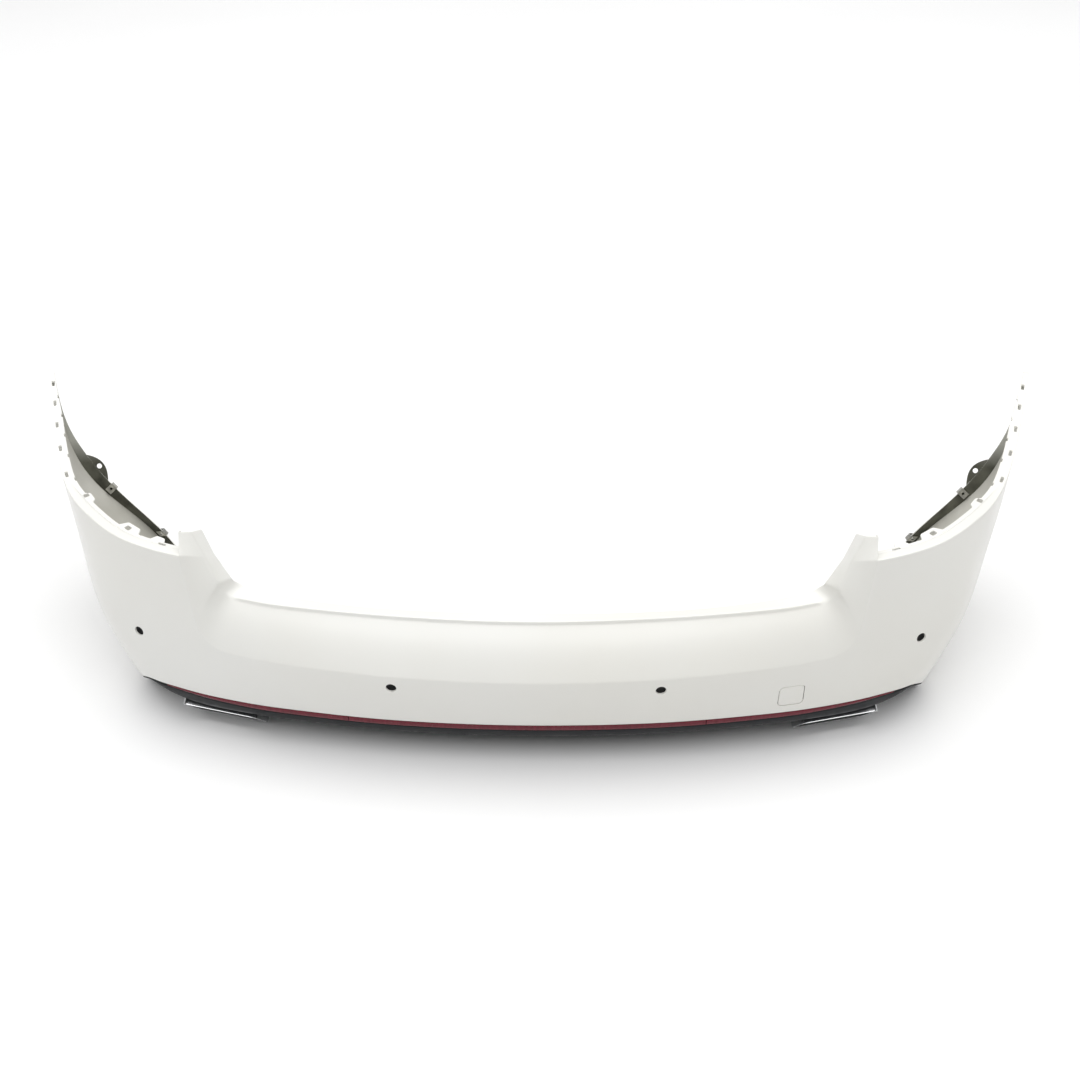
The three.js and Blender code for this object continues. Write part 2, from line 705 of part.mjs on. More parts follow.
function strip(from, to, studs) {
  const inside = LOWER.filter((c) => c > from + 0.02 && c < to - 0.02);
  const rings = [from, ...inside, to].map(stripRing);
  return join(solid(bar(rings)), studs.map((x) => studRod(x, STUD.radius, STRIP.depth - 1, STUD.length + 1)));
}

const SPLIT_COLUMN = columnAt(STRIP.split, STRIP_EDGE_Z);

function centreStrip() {
  const half = LOWER.filter((c) => c > 0.02 && c < SPLIT_COLUMN - 0.02);
  const right = [...half, columnAt(STRIP.split - GAP, STRIP_EDGE_Z)].map(stripRing);
  const left = right.map((ring) => ring.map((p) => new THREE.Vector3(-p.x, p.y, p.z))).reverse();
  const rod = (x) => studRod(x, STUD.radius, STRIP.depth - 1, STUD.length + 1);
  const studs = bothSides(REFLECTOR_STUDS.slice(0, 2).map(rod));
  return join(solid(bar([...left, stripRing(0), ...right])), studs);
}

function pushNut(x) {
  const { along, inward, at } = studFrame(x);
  const up = new THREE.Vector3().crossVectors(inward, along);
  const start = at.clone().addScaledVector(inward, STRIP.depth + 2 + WALL + GAP);
  const ring = prism(ringShape(STUD.nut, STUD.radius + 0.3), STUD.nutDepth, 4);
  return placed(ring, along, up, inward, start);
}

// ---- small pieces -------------------------------------------------------
function sensorHolder(place) {
  const { at, along, up, outward } = sensorFrame(place);
  const shape = ringShape(SENSOR.ring, SENSOR.hole + 1);
  const neck = ringShape(SENSOR.hole + 3.5, SENSOR.hole + 1);
  const flangeDepth = 3;
  const seat = WALL + 2;
  const flange = prism(shape, flangeDepth, 8).translate(0, 0, -seat - flangeDepth);
  const tube = prism(neck, 10, 8).translate(0, 0, -seat - flangeDepth - 9);
  return placed(geometryOf(join(solid(flange), [tube])), along, up, outward, at);
}

// A folded spring nut that grips the edge of the arch flange.
function springNut(z) {
  const { side, climb, forward, at } = onArch(z);
  const clear = 1.6;
  const front = clear + 1;
  const back = -WALL - clear;
  const outline = new THREE.Shape([
    [front, -11], [front, 4], [back - 1, 4], [back - 1, -14], [back, -14], [back, 3],
    [clear, 3], [clear, -11],
  ].map((p) => new THREE.Vector2(...p)));
  const origin = at.clone().addScaledVector(climb, -6.5);
  const clip = placed(prism(outline, 13), forward, side, climb, origin);
  const bore = at.clone().addScaledVector(side, -5);
  return cut(solid(clip), [placed(disc(2.6, 30, 8), side, climb, forward, bore)]);
}

function screw(column) {
  const seat = WALL + GAP;
  const head = screwRod(column, SCREW.head, SCREW.headHeight, seat, 12);
  const shank = screwRod(column, SCREW.radius, 13, seat - 12, 8);
  return geometryOf(join(solid(head), [shank]));
}

// ---- assembly -----------------------------------------------------------
const COLOURS = {
  paint: [0xece9dd, 0.3, 0], strip: [0x7a1f2a, 0.25, 0], black: [0x2c2f31, 0.5, 0],
  chrome: [0xd8dadc, 0.12, 1], liner: [0x141516, 0.7, 0], holder: [0x1e1f20, 0.6, 0],
  steel: [0x8d8f90, 0.4, 0.9],
};

const bumper = new THREE.Group();
bumper.position.y = FRAME_Y;

function add(name, geometry, colour) {
  const [color, roughness, metalness] = COLOURS[colour];
  const shape = geometry.getMesh ? geometryOf(geometry) : geometry;
  const material = new THREE.MeshStandardMaterial({ color, roughness, metalness });
  const mesh = new THREE.Mesh(shape, material);
  mesh.name = name;
  bumper.add(mesh);
}

function addPair(name, geometry, colour) {
  const right = geometry.getMesh ? geometryOf(geometry) : geometry;
  add(`${name}_right`, right, colour);
  add(`${name}_left`, flip(right), colour);
}

add("bumper_skin", skin, "paint");
add("lower_valance", valance(), "black");
add("reflector_centre", centreStrip(), "strip");
const sideStart = columnAt(STRIP.split + GAP, STRIP_EDGE_Z);
addPair("reflector", strip(sideStart, STRIP_COLUMN, REFLECTOR_STUDS.slice(2)), "strip");
REFLECTOR_STUDS.forEach((x, i) => addPair(`push_nut_${i + 1}`, pushNut(x), "steel"));
addPair("exhaust_trim", trimPiece(0, TRIM.wall, TRIM.depth, 1), "chrome");
addPair("exhaust_liner", trimPiece(TRIM.wall + GAP, TRIM.wall + 3, TRIM.depth + 6, 0), "liner");
add("tow_eye_cover", towCover(), "paint");
for (const [name, place] of Object.entries(SENSOR_PLACES)) {
  addPair(`sensor_holder_${name}`, sensorHolder(place), "holder");
}
for (const [name, row] of Object.entries(NUT_ROWS)) {
  addPair(`spring_nut_${name}`, springNut(topEdgeZ(LAST) * row / FACE_ROWS), "steel");
}
SCREW.columns.forEach((column, i) => addPair(`valance_screw_${i + 1}`, screw(column), "steel"));

export default bumper;
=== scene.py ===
import math

import bmesh
import bpy
import numpy as np
from mathutils import Matrix, Vector


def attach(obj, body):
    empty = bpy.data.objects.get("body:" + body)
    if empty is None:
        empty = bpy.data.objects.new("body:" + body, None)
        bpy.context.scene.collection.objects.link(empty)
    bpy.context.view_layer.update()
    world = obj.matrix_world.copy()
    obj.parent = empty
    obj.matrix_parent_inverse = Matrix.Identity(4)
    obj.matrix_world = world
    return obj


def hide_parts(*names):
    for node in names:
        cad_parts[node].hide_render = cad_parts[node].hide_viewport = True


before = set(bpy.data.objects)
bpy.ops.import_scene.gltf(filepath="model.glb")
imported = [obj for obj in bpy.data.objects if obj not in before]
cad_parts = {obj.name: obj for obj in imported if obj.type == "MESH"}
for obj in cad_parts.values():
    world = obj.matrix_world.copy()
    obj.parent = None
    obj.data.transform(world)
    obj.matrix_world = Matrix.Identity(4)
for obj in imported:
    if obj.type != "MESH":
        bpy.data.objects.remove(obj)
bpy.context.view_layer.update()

MM = 0.001
UP = np.array([0.0, 0.0, 1.0])
FRAME_Y = -301.6  # moves the middle of the depth onto the origin
WALL = 3.0
GAP = 0.5
DIVE_GAP = {"more": 4, "fade": (4.7, 5.1)}  # the joint opens where the skin's edge dives

# Plan points [x, y] of ten columns, centre line to wheel arch, at four heights.
HEIGHTS = [0, 95, 195, 350]
COLUMNS = np.array([
    [[0, 6], [0, -3], [0, -6], [0, 30]],
    [[210, 14], [210, 5], [210, 5], [210, 42]],
    [[392, 36], [392, 27], [392, 32], [392, 80]],
    [[488, 58], [490, 46], [490, 58], [490, 104]],
    [[562, 84], [570, 69], [570, 82], [570, 132]],
    [[628, 120], [640, 100], [647, 112], [645, 174]],
    [[682, 188], [697, 168], [711, 166], [705, 227]],
    [[722, 275], [748, 265], [766, 280], [767, 297]],
    [[718, 380], [760, 380], [805, 388], [820, 405]],
    [[690, 480], [726, 480], [817, 480], [884, 594]],
], float)
LAST = len(COLUMNS) - 1
ARCH = {"y": 820, "z": 90, "radius": 345}
TOP_EDGE = {"at": [3.6, 5, 6, 7, 8, 9], "z": [347, 338, 334, 330, 338, 361]}
STRIP_EDGE_Z = 95
SKIN_DIVE = (4.75, 6.3)
CREASE = {"z": 197, "x": 475, "radius": 48, "top_x": 538, "top_z": 347}
EAR_TOP = (540, 146, 372)
EAR_TAPER = 0.75  # share of the ear's depth lost from its foot to its top
CURVE_AT = [0, 0.6, 1, 1.5, 2, 3, 4]
SILL = [[0, 65, 64], [0, 63, 64], [-20, 52, 65], [-33, 46, 58], [-39, 32, 49], [-37, 13, -14],
        [-19, 3, -2]]
FLANGE = [[0, 87, 68], [0, 84, 66], [-28, 77, 70], [-51, 68, 62], [-56, 53, 40], [-43, 38, -29],
          [-27, 30, -20]]
RISER = {"height": 5, "fade": (0.8, 1.6)}
BAND = {"rows": (0.36, 0.66), "bulge": 3}
CROSS = [0, 0.35, 0.5, 1]
LEDGE = {"shoulder": 15.5, "width": 25, "wing_width": 19, "tip_width": 11, "drop": 4,
         "wing": (6.6, 7.3), "tip": (8.3, 9)}
HEM = {"strip": 16, "wing": 22}
ARCH_FLANGE = {"at": [0, 100, 190, 240, 270, 300, 361], "width": [22, 30, 28, 20, 12, 8, 11]}
STRIP = {"height": 12, "end_height": 3, "taper": (1.5, 4.45), "depth": 11, "split": 288, "end": 598}
VALANCE = {"recess": 84, "fade": (5.1, 5.9), "foot": 28, "end_z": 12}
LIP = {"at": [0, 2.5, 3.6, 4.15, 4.45, 4.75, 4.95], "z": [66, 66, 62, 64, 74, 86, 96]}
SENSOR = {"hole": 8.2, "inner": (211, 174), "outer": (629, 195), "ring": 16}
TOW = {"x": 421, "z": 133, "width": 41, "height": 42, "corner": 8}
TRIM = {"inner": (438, 34), "outer": (579, 67), "low": 8, "high": 61, "rake": 0.7, "wall": 3,
        "depth": 45, "lean": 12, "corner": 12}
BEND_X = 560
FINS = [70, 215]
REFLECTOR_STUDS = [60, 220, 340, 480]
STUD = {"radius": 2, "length": 9, "nut": 4.6, "nut_depth": 1.2}
NUT_ROWS = {"upper": 4, "lower": 2}
SCREW = {"columns": [5.25, 5.55], "offset": 9, "radius": 2.2, "head": 5, "head_height": 2.6}


# ---- curves and the outer surface ------------------------------------------------
def lerp(a, b, t):
    return a + (b - a) * t


def smooth(a, b, t):
    u = np.clip((np.asarray(t, float) - a) / (b - a), 0, 1)
    return u * u * (3 - 2 * u)


def through(knots, values, t):
    """Smooth curve through values at rising knots, straight beyond its ends."""
    knots = np.asarray(knots, float)
    t = np.asarray(t, float)
    values = np.broadcast_to(np.asarray(values, float), t.shape + (len(knots),))
    gap = np.diff(knots)
    rise = np.diff(values) / gap
    inner = (rise[..., :-1] * gap[1:] + rise[..., 1:] * gap[:-1]) / (gap[1:] + gap[:-1])
    slope = np.concatenate([rise[..., :1], inner, rise[..., -1:]], -1)
    i = np.clip(np.searchsorted(knots, t, side="left") - 1, 0, len(knots) - 2)

    def pick(table, k):
        return np.take_along_axis(table, k[..., None], -1)[..., 0]

    step = gap[i]
    u = np.clip((t - knots[i]) / step, 0, 1)
    curve = ((2 * u**3 - 3 * u**2 + 1) * pick(values, i) + (3 * u**2 - 2 * u**3) * pick(values, i + 1)
             + (u**3 - 2 * u**2 + u) * pick(slope, i) * step
             + (u**3 - u**2) * pick(slope, i + 1) * step)
    before = np.minimum(t - knots[0], 0) * slope[..., 0]
    after = np.maximum(t - knots[-1], 0) * slope[..., -1]
    return curve + before + after


def point(x, y, z):
    return np.stack(np.broadcast_arrays(np.asarray(x, float), y, z), -1)


def surface(column, z):
    """Point of the outer surface at a column parameter and a height."""
    column, z = np.broadcast_arrays(np.asarray(column, float), np.asarray(z, float))
    xs = np.stack([through(HEIGHTS, c[:, 0], z) for c in COLUMNS], -1)
    ys = np.stack([through(HEIGHTS, c[:, 1], z) for c in COLUMNS], -1)
    ys[..., LAST] = ARCH["y"] - np.sqrt(ARCH["radius"] ** 2 - (z - ARCH["z"]) ** 2)
    xs = np.concatenate([-xs[..., 1:2], xs], -1)
    ys = np.concatenate([ys[..., 1:2], ys], -1)
    knots = np.arange(-1, LAST + 1)
    return point(through(knots, xs, column), through(knots, ys, column), z)


def column_at(x, z):
    """Column parameter at which the surface reaches a half-width, at a height."""
    x, z = np.broadcast_arrays(np.asarray(x, float), np.asarray(z, float))
    low = np.zeros(x.shape)
    high = np.full(x.shape, float(LAST))
    for _ in range(34):
        middle = (low + high) / 2
        inside = surface(middle, z)[..., 0] < x
        low = np.where(inside, middle, low)
        high = np.where(inside, high, middle)
    return low


def unit(v):
    return v / np.linalg.norm(v, axis=-1, keepdims=True)


def plan_frame(column, z):
    """Unit vectors of the surface in plan: along the body, and in towards the car."""
    column = np.asarray(column, float)
    step = 0.02
    run = surface(np.minimum(column + step, LAST), z) - surface(np.maximum(column - step, 0), z)
    run[..., 2] = 0
    along = unit(run)
    along = np.where((column == 0)[..., None], (1.0, 0.0, 0.0), along)
    return along, point(-along[..., 1], along[..., 0], 0.0)


def crease_point(station):
    """Crease stations: 0-1 level, 1-2 arc, 2-3 rising, 3-4 outer edge of the ear."""
    s = np.asarray(station, float)
    turn = (np.clip(s, 1, 2) - 1) * math.pi / 2
    x = CREASE["x"] * np.minimum(s, 1) + CREASE["radius"] * np.sin(turn)
    z = CREASE["z"] + CREASE["radius"] * (1 - np.cos(turn))
    climb = np.clip(s, 2, 3) - 2
    x = lerp(x, CREASE["top_x"], climb)
    z = lerp(z, CREASE["top_z"], climb)
    edge = surface(column_at(x, z), z)
    ear = np.clip(s - 3, 0, 1)[..., None]
    return lerp(edge, np.array(EAR_TOP, float), ear)


def curve_point(curve, station):
    """Point of the sill or the flange edge, from its offsets to the crease."""
    offsets = np.asarray(curve, float)
    bend = CURVE_AT.index(2)
    shift = [through(CURVE_AT[:bend + 1], offsets[:bend + 1, k], np.minimum(station, 2))
             + np.interp(station, CURVE_AT[bend:], offsets[bend:, k]) - offsets[bend, k]
             for k in range(3)]
    return crease_point(station) + np.stack(shift, -1)


def skin_edge_z(column):
    return STRIP_EDGE_Z * (1 - smooth(*SKIN_DIVE, column))


def top_edge_z(column):
    return through(TOP_EDGE["at"], TOP_EDGE["z"], column)


# ---- stations --------------------------------------------------------------------
def steps(start, stop, count):
    return np.linspace(start, stop, count + 1)


SUPPORT = 3.2  # distance of the loops that keep an edge tight when it is subdivided
FRONT = np.concatenate([steps(0, 1, 22), steps(1, 2, 8)[1:], steps(2, 3, 7)[1:-1], [2.965, 3]])
EAR = np.array([3.08, 3.3, 3.55, 3.8, 3.94, 4])
WING = np.concatenate([[0.008], steps(0, 1, 34)[1:-1], [0.9945, 1]])
CORNER = column_at(CREASE["top_x"], CREASE["top_z"])


def lower_column(station):
    x = np.where(station < 1, CREASE["x"] * station, lerp(CREASE["x"], BEND_X, (station - 1) / 2))
    return column_at(x, STRIP_EDGE_Z)


LOWER_FRONT = lower_column(FRONT)
LOWER = np.concatenate([LOWER_FRONT, lerp(LOWER_FRONT[-1], LAST, WING)])
UPPER_WING = lerp(CORNER, LAST, np.concatenate([[0], WING]))
ROWS = [0, 0.25, 0.75, 1, 2, 2.3, 2.75, 3]  # rows across a turned-in flange
ACROSS = [np.interp(row, [0, 1, 2, 3], CROSS) for row in ROWS]
FACE_ROWS = 12


def levels(height):
    """Fractions up a face of this height, with a tight loop near either edge."""
    inner = steps(0, 1, FACE_ROWS)[1:-1]
    return np.concatenate([[0, SUPPORT / height], inner, [1 - SUPPORT / height, 1]])


# ---- sheets made solid -----------------------------------------------------------
def merged(grids):
    """One sheet of vertices and quads from grids that share their borders, and each
    quad's grid number."""
    points = []
    quads = []
    owners = []
    base = 0
    for number, grid in enumerate(grids):
        rows, width = grid.shape[:2]
        r, c = np.meshgrid(np.arange(rows - 1), np.arange(width - 1), indexing="ij")
        a = base + r * width + c
        quads.append(np.stack([a, a + 1, a + width + 1, a + width], -1).reshape(-1, 4))
        owners += [number] * len(quads[-1])
        points.append(grid.reshape(-1, 3))
        base += rows * width
    points = np.concatenate(points)
    quads = np.concatenate(quads)
    _, first, inverse = np.unique(np.round(points, 2), axis=0, return_index=True, return_inverse=True)
    return points[first], inverse.reshape(-1)[quads], owners


def mirrored(grid):
    return (grid * (-1, 1, 1))[:, ::-1]


def reversed_grid(grid):
    return grid[:, ::-1]


def thicken(points, quads, thickness):
    """Closed shell: the sheet, a copy set in by the wall thickness, and a rim."""
    corners = points[quads]
    face_normal = np.cross(corners[:, 2] - corners[:, 0], corners[:, 3] - corners[:, 1])
    face_normal /= np.maximum(np.linalg.norm(face_normal, axis=1, keepdims=True), 1e-9)
    total = np.zeros_like(points)
    for k in range(4):
        np.add.at(total, quads[:, k], face_normal)
    normal = unit(total)
    agreement = np.zeros(len(points))
    number = np.zeros(len(points))
    for k in range(4):
        np.add.at(agreement, quads[:, k], np.einsum("ij,ij->i", face_normal, normal[quads[:, k]]))
        np.add.at(number, quads[:, k], 1)
    depth = thickness / np.clip(agreement / number, 0.7, 1)
    inner = points - normal * depth[:, None]
    count = len(points)
    border = set()
    faces = []
    for quad in quads.tolist():
        ring = [v for i, v in enumerate(quad) if v != quad[i - 1]]
        faces.append(ring)
        for i, v in enumerate(ring):
            pair = (ring[i - 1], v)
            if pair[::-1] in border:
                border.remove(pair[::-1])
            else:
                border.add(pair)
    back = [[v + count for v in reversed(ring)] for ring in faces]
    rim = [[q, p, p + count, q + count] for p, q in sorted(border)]
    return np.concatenate([points, inner]), faces, back, rim


def mesh_object(name, points, faces, kinds=None):
    """A mesh in metres in the row frame; kinds gives each face's material number."""
    mesh = bpy.data.meshes.new(name)
    at = (np.asarray(points, float) + (0, FRAME_Y, 0)) * MM
    mesh.from_pydata(at.tolist(), [], faces)
    if kinds is not None:
        mesh.polygons.foreach_set("material_index", kinds)
    mesh.validate()
    obj = bpy.data.objects.new(name, mesh)
    bpy.context.scene.collection.objects.link(obj)
    tidy_normals(obj)
    return obj


def tidy_normals(obj):
    work = bmesh.new()
    work.from_mesh(obj.data)
    bmesh.ops.remove_doubles(work, verts=work.verts, dist=1e-6)
    bmesh.ops.recalc_face_normals(work, faces=work.faces)
    work.to_mesh(obj.data)
    work.free()


def shell(name, grids, thickness, dark=()):
    """Outer faces and rim get material 0, inner faces 1, and the dark grids 2."""
    sheet, quads, owners = merged(grids)
    points, faces, back, rim = thicken(sheet, quads, thickness)
    outer = [2 if number in dark else 0 for number in owners]
    inner = [2 if number in dark else 1 for number in owners]
    return mesh_object(name, points, faces + back + rim, outer + inner + [0] * len(rim))


def apply(obj, kind, **settings):
    """Adds a modifier and applies it to the mesh at once."""
    modifier = obj.modifiers.new(kind.lower(), kind)
    for key, value in settings.items():
        setattr(modifier, key, value)
    bpy.context.view_layer.objects.active = obj
    for other in bpy.context.selected_objects:
        other.select_set(False)
    obj.select_set(True)
    bpy.ops.object.modifier_apply(modifier=modifier.name)


def subdivide(obj):
    apply(obj, "SUBSURF", levels=2, render_levels=2, use_limit_surface=True)


def gathered(objects):
    """One object that holds the meshes of several, which are used up."""
    work = bmesh.new()
    for obj in objects:
        work.from_mesh(obj.data)
    first = objects[0]
    work.to_mesh(first.data)
    work.free()
    for obj in objects[1:]:
        bpy.data.meshes.remove(obj.data)
    return first


def boolean(obj, tools, operation="DIFFERENCE"):
    """Joins or cuts a list of separate tool objects, which are used up."""
    tool = gathered(tools)
    apply(obj, "BOOLEAN", object=tool, operation=operation, solver="MANIFOLD")
    bpy.data.meshes.remove(tool.data)


def shade(obj, angle):
    for polygon in obj.data.polygons:
        polygon.use_smooth = True
    obj.data.set_sharp_from_angle(angle=math.radians(angle))


# ---- the painted skin ------------------------------------------------------------
def crease_column(station):
    p = crease_point(station)
    return column_at(p[..., 0], p[..., 2])


def face_grid():
    wing = UPPER_WING[1:]
    tops = np.concatenate([crease_point(FRONT), surface(wing, top_edge_z(wing))])
    top_columns = np.concatenate([crease_column(FRONT), wing])
    low = skin_edge_z(LOWER)
    t = np.stack([levels(h) for h in tops[:, 2] - low], 1)
    z = lerp(low, tops[:, 2], t)
    grid = surface(lerp(LOWER, top_columns, t), z)
    grid[-1] = tops
    return grid


def band_grid():
    s = np.concatenate([FRONT, EAR])
    crease = crease_point(s)
    sill = curve_point(SILL, s)
    width = np.linalg.norm(sill - crease, axis=1)
    edge = np.minimum(SUPPORT / width, 0.3)
    middle = [row + 0 * edge for row in BAND["rows"]]
    t = np.stack([0 * edge, edge, *middle, 1 - edge, 1 + 0 * edge])
    bulge = BAND["bulge"] * np.sin(math.pi * t)[..., None] * np.array([0, -1, 1])
    return lerp(crease[None], sill[None], t[..., None]) + bulge


def flange_grid():
    s = np.concatenate([FRONT, EAR])
    sill = curve_point(SILL, s)
    rim = curve_point(FLANGE, s)
    fade = 1 - smooth(*RISER["fade"], s)[:, None]
    step = sill + fade * np.array([0, 1.5, RISER["height"]]) + unit(rim - sill) * 4 * (1 - fade)
    inner = [lerp(step, rim, t) for t in (0.12, 0.5, 0.88, 1)]
    return np.stack([sill, step, *inner])


def ledge_width(column):
    width = lerp(LEDGE["width"], LEDGE["wing_width"], smooth(*LEDGE["wing"], column))
    return lerp(width, LEDGE["tip_width"], smooth(*LEDGE["tip"], column))


def ledge_point(column, row):
    z = top_edge_z(column)
    _, inward = plan_frame(column, z)
    on_wing = smooth(*LEDGE["wing"], column)
    width = ledge_width(column)
    knots = [0, 1, 2, 3]
    shoulder = LEDGE["shoulder"]
    near = [np.interp(row, knots, [0, shoulder, shoulder + 1.5, w]) for w in np.ravel(width)]
    near = np.reshape(near, np.shape(width))
    offset = lerp(near, np.interp(row, knots, CROSS) * width, on_wing)
    drop = np.interp(row, knots, [0, 0, LEDGE["drop"], LEDGE["drop"]]) * (1 - on_wing)
    at = surface(column, z) + inward * offset[..., None]
    at[..., 2] = z - drop
    return at


def ledge_grid():
    return np.stack([ledge_point(UPPER_WING, row) for row in ROWS])


def ear_side_grid():
    depth = ledge_point(CORNER, 1) - ledge_point(CORNER, 0)
    stations = np.concatenate([[3], EAR])
    taper = (1 - EAR_TAPER * (stations - 3))[:, None]
    return np.stack([crease_point(stations) + depth * taper * row for row in ROWS[:4]])


def hem_grid():
    z = skin_edge_z(LOWER)
    width = lerp(HEM["strip"], HEM["wing"], smooth(*SKIN_DIVE, LOWER))
    _, inward = plan_frame(LOWER, z)
    return np.stack([surface(LOWER, z) + inward * (width * c)[:, None] for c in ACROSS])


def arch_point(z, cross):
    width = through(ARCH_FLANGE["at"], ARCH_FLANGE["width"], z)
    _, inward = plan_frame(np.full(np.shape(z), float(LAST)), z)
    return surface(LAST, z) + inward * (width * cross)[..., None]


def arch_grid():
    top = float(top_edge_z(LAST))
    z = levels(top) * top
    grid = np.stack([arch_point(z, c) for c in ACROSS], 1)
    grid[-1] = [ledge_point(np.array(float(LAST)), row) for row in ROWS]
    return grid


def skin_shell():
    half = [face_grid(), band_grid(), flange_grid(), ledge_grid(),
            reversed_grid(ear_side_grid()), reversed_grid(hem_grid()), arch_grid()]
    arch = len(half) - 1
    # The arch flange grids get material 2, a near-black that is partly painted shade.
    skin = shell("skin", half + [mirrored(g) for g in half], WALL, dark=(arch, arch + len(half)))
    subdivide(skin)
    return skin


LEDGE_TABS = [  # column, half-length along the edge, reach in from the edge
    {"column": 4.32, "half": 16, "reach": 34}, {"column": 5.12, "half": 27, "reach": 37},
    {"column": 6.68, "half": 20, "reach": 31},
]
LEDGE_HOLES = [  # column, distance in from the edge, length, width
    {"column": 4.16, "offset": 20, "length": 15, "width": 4},
    {"column": 4.77, "offset": 26, "length": 7, "width": 4},
    {"column": 5.18, "offset": 27, "length": 11, "width": 8},
    {"column": 6.76, "offset": 22.5, "length": 9, "width": 9},
]
WING_SLOTS = [7.39, 7.95, 8.31, 8.58, 8.81]
NOTCH_SHIFT = 0.16  # each wing slot's notch, this many columns before it
ARCH_EAR = {"z": 213, "half": 23, "reach": 15, "root": 8, "hole_at": 6, "hole": 4.6,
            "sink": 0.5, "bevel": 0.5}


def arc(centre, radius, start, stop, count):
    turn = np.linspace(start, stop, count)
    return [(centre[0] + radius * math.cos(a), centre[1] + radius * math.sin(a)) for a in turn]


def round_outline(radius, count):
    return arc((0, 0), radius, 0, 2 * math.pi * (count - 1) / count, count)


def unit_circle(count):
    turn = np.arange(count) * 2 * math.pi / count
    return np.stack([np.cos(turn), np.sin(turn)], 1)


def rounded_rect(width, height, radius, count):
    w, h = width / 2 - radius, height / 2 - radius
    half = math.pi / 2
    outline = []
    for k, (x, y) in enumerate([(w, -h), (w, h), (-w, h), (-w, -h)]):
        outline += arc((x, y), radius, half * (k - 1), half * k, count)
    return outline


def polygon_inset(outline, amount):
    """Moves every side of a closed outline in by an amount."""
    p = np.asarray(outline, float)
    ahead = unit(np.roll(p, -1, 0) - p)
    behind = np.roll(ahead, 1, 0)
    normal = unit(np.stack([-(ahead + behind)[:, 1], (ahead + behind)[:, 0]], 1))
    cosine = np.clip(np.einsum("ij,ij->i", normal, np.stack([-ahead[:, 1], ahead[:, 0]], 1)), 0.5, 1)
    return p + normal * (amount / cosine)[:, None]


def tube(name, rings, closed=False):
    """A solid from a row of rings, capped at either end or closed on itself."""
    count = len(rings[0])
    faces = []
    for r in range(len(rings) if closed else len(rings) - 1):
        low, high = r * count, (r + 1) % len(rings) * count
        faces += [[low + i, low + (i + 1) % count, high + (i + 1) % count, high + i]
                  for i in range(count)]
    if not closed:
        top = (len(rings) - 1) * count
        faces += [list(range(count))[::-1], list(range(top, top + count))]
    return mesh_object(name, np.concatenate(rings), faces)


def stack(name, outline, profile, axes, at, closed=False):
    """A solid from one outline, repeated at (inset, depth) steps along the third axis."""
    x, y, z = (np.asarray(v, float) for v in axes)
    rings = []
    for inset, depth in profile:
        ring = polygon_inset(outline, inset) if inset else np.asarray(outline, float)
        rings.append(at + ring[:, :1] * x + ring[:, 1:] * y + depth * z)
    return tube(name, rings, closed)


def flared(depth, lip):
    """Profile of a cutter that leaves a softly rounded lip around its hole."""
    turn = np.linspace(0, math.pi / 2, 5)
    mouth = [(-lip * (1 - math.cos(a)), lip * (math.sin(a) - 1)) for a in turn]
    return [(0, -depth), *mouth, (-lip, depth)]


def flip_copy(obj):
    twin = obj.copy()
    twin.data = obj.data.copy()
    twin.data.transform(Matrix.Scale(-1, 4, (1, 0, 0)))
    twin.data.flip_normals()
    bpy.context.scene.collection.objects.link(twin)
    return twin


def both_sides(objects):
    return [*objects, *[flip_copy(o) for o in objects]]


def on_ledge(column, offset):
    """Plan frame on the ledge or the wing flange, at a distance in from its edge."""
    z = float(top_edge_z(column))
    along, inward = plan_frame(np.array(float(column)), z)
    drop = LEDGE["drop"] * (1 - float(smooth(*LEDGE["wing"], column)))
    at = surface(column, z) + inward * offset
    at[2] = z - drop
    return along, inward, at


def ledge_tabs():
    tabs = []
    for tab in LEDGE_TABS:
        along, inward, at = on_ledge(tab["column"], 0)
        half, reach, inner = tab["half"], tab["reach"], LEDGE["width"] - 6
        corner, slant, upright = 5, 0.35, math.pi / 2
        tip = half * 0.62 - corner
        outline = [(-half, inner), (half, inner),
                   *arc((tip, reach - corner), corner, slant, upright, 4),
                   *arc((-tip, reach - corner), corner, upright, math.pi - slant, 4)]
        rounding = [(0.5, 0), (0, 0.5), (0, WALL - 0.9), (0.5, WALL - 0.4)]
        tabs.append(stack("tab", outline, rounding, (along, inward, UP), at - (0, 0, WALL - 0.2)))
    return tabs


def ledge_cuts():
    slots = [{"column": c, "offset": 7.5, "length": 14, "width": 5} for c in WING_SLOTS]
    notch_columns = [c - NOTCH_SHIFT for c in WING_SLOTS]
    notches = [{"column": c, "offset": float(ledge_width(c)) + 1, "length": 9, "width": 7}
               for c in notch_columns]
    cutters = []
    for hole in [*LEDGE_HOLES, *slots, *notches]:
        along, inward, at = on_ledge(hole["column"], hole["offset"])
        outline = rounded_rect(hole["length"], hole["width"], 1.6, 4)
        cutters.append(stack("cut", outline, flared(6, 0.5), (along, inward, UP), at))
    return cutters


def on_arch(z):
    """Frame at the free edge of the arch flange: inward, up along it, and forward."""
    z = np.array(float(z))
    climb = unit(arch_point(z + 2, 1) - arch_point(z - 2, 1))
    forward = unit(np.cross(arch_point(z, 1) - arch_point(z, 0.7), climb))
    return unit(np.cross(climb, forward)), climb, forward, arch_point(z, 1)


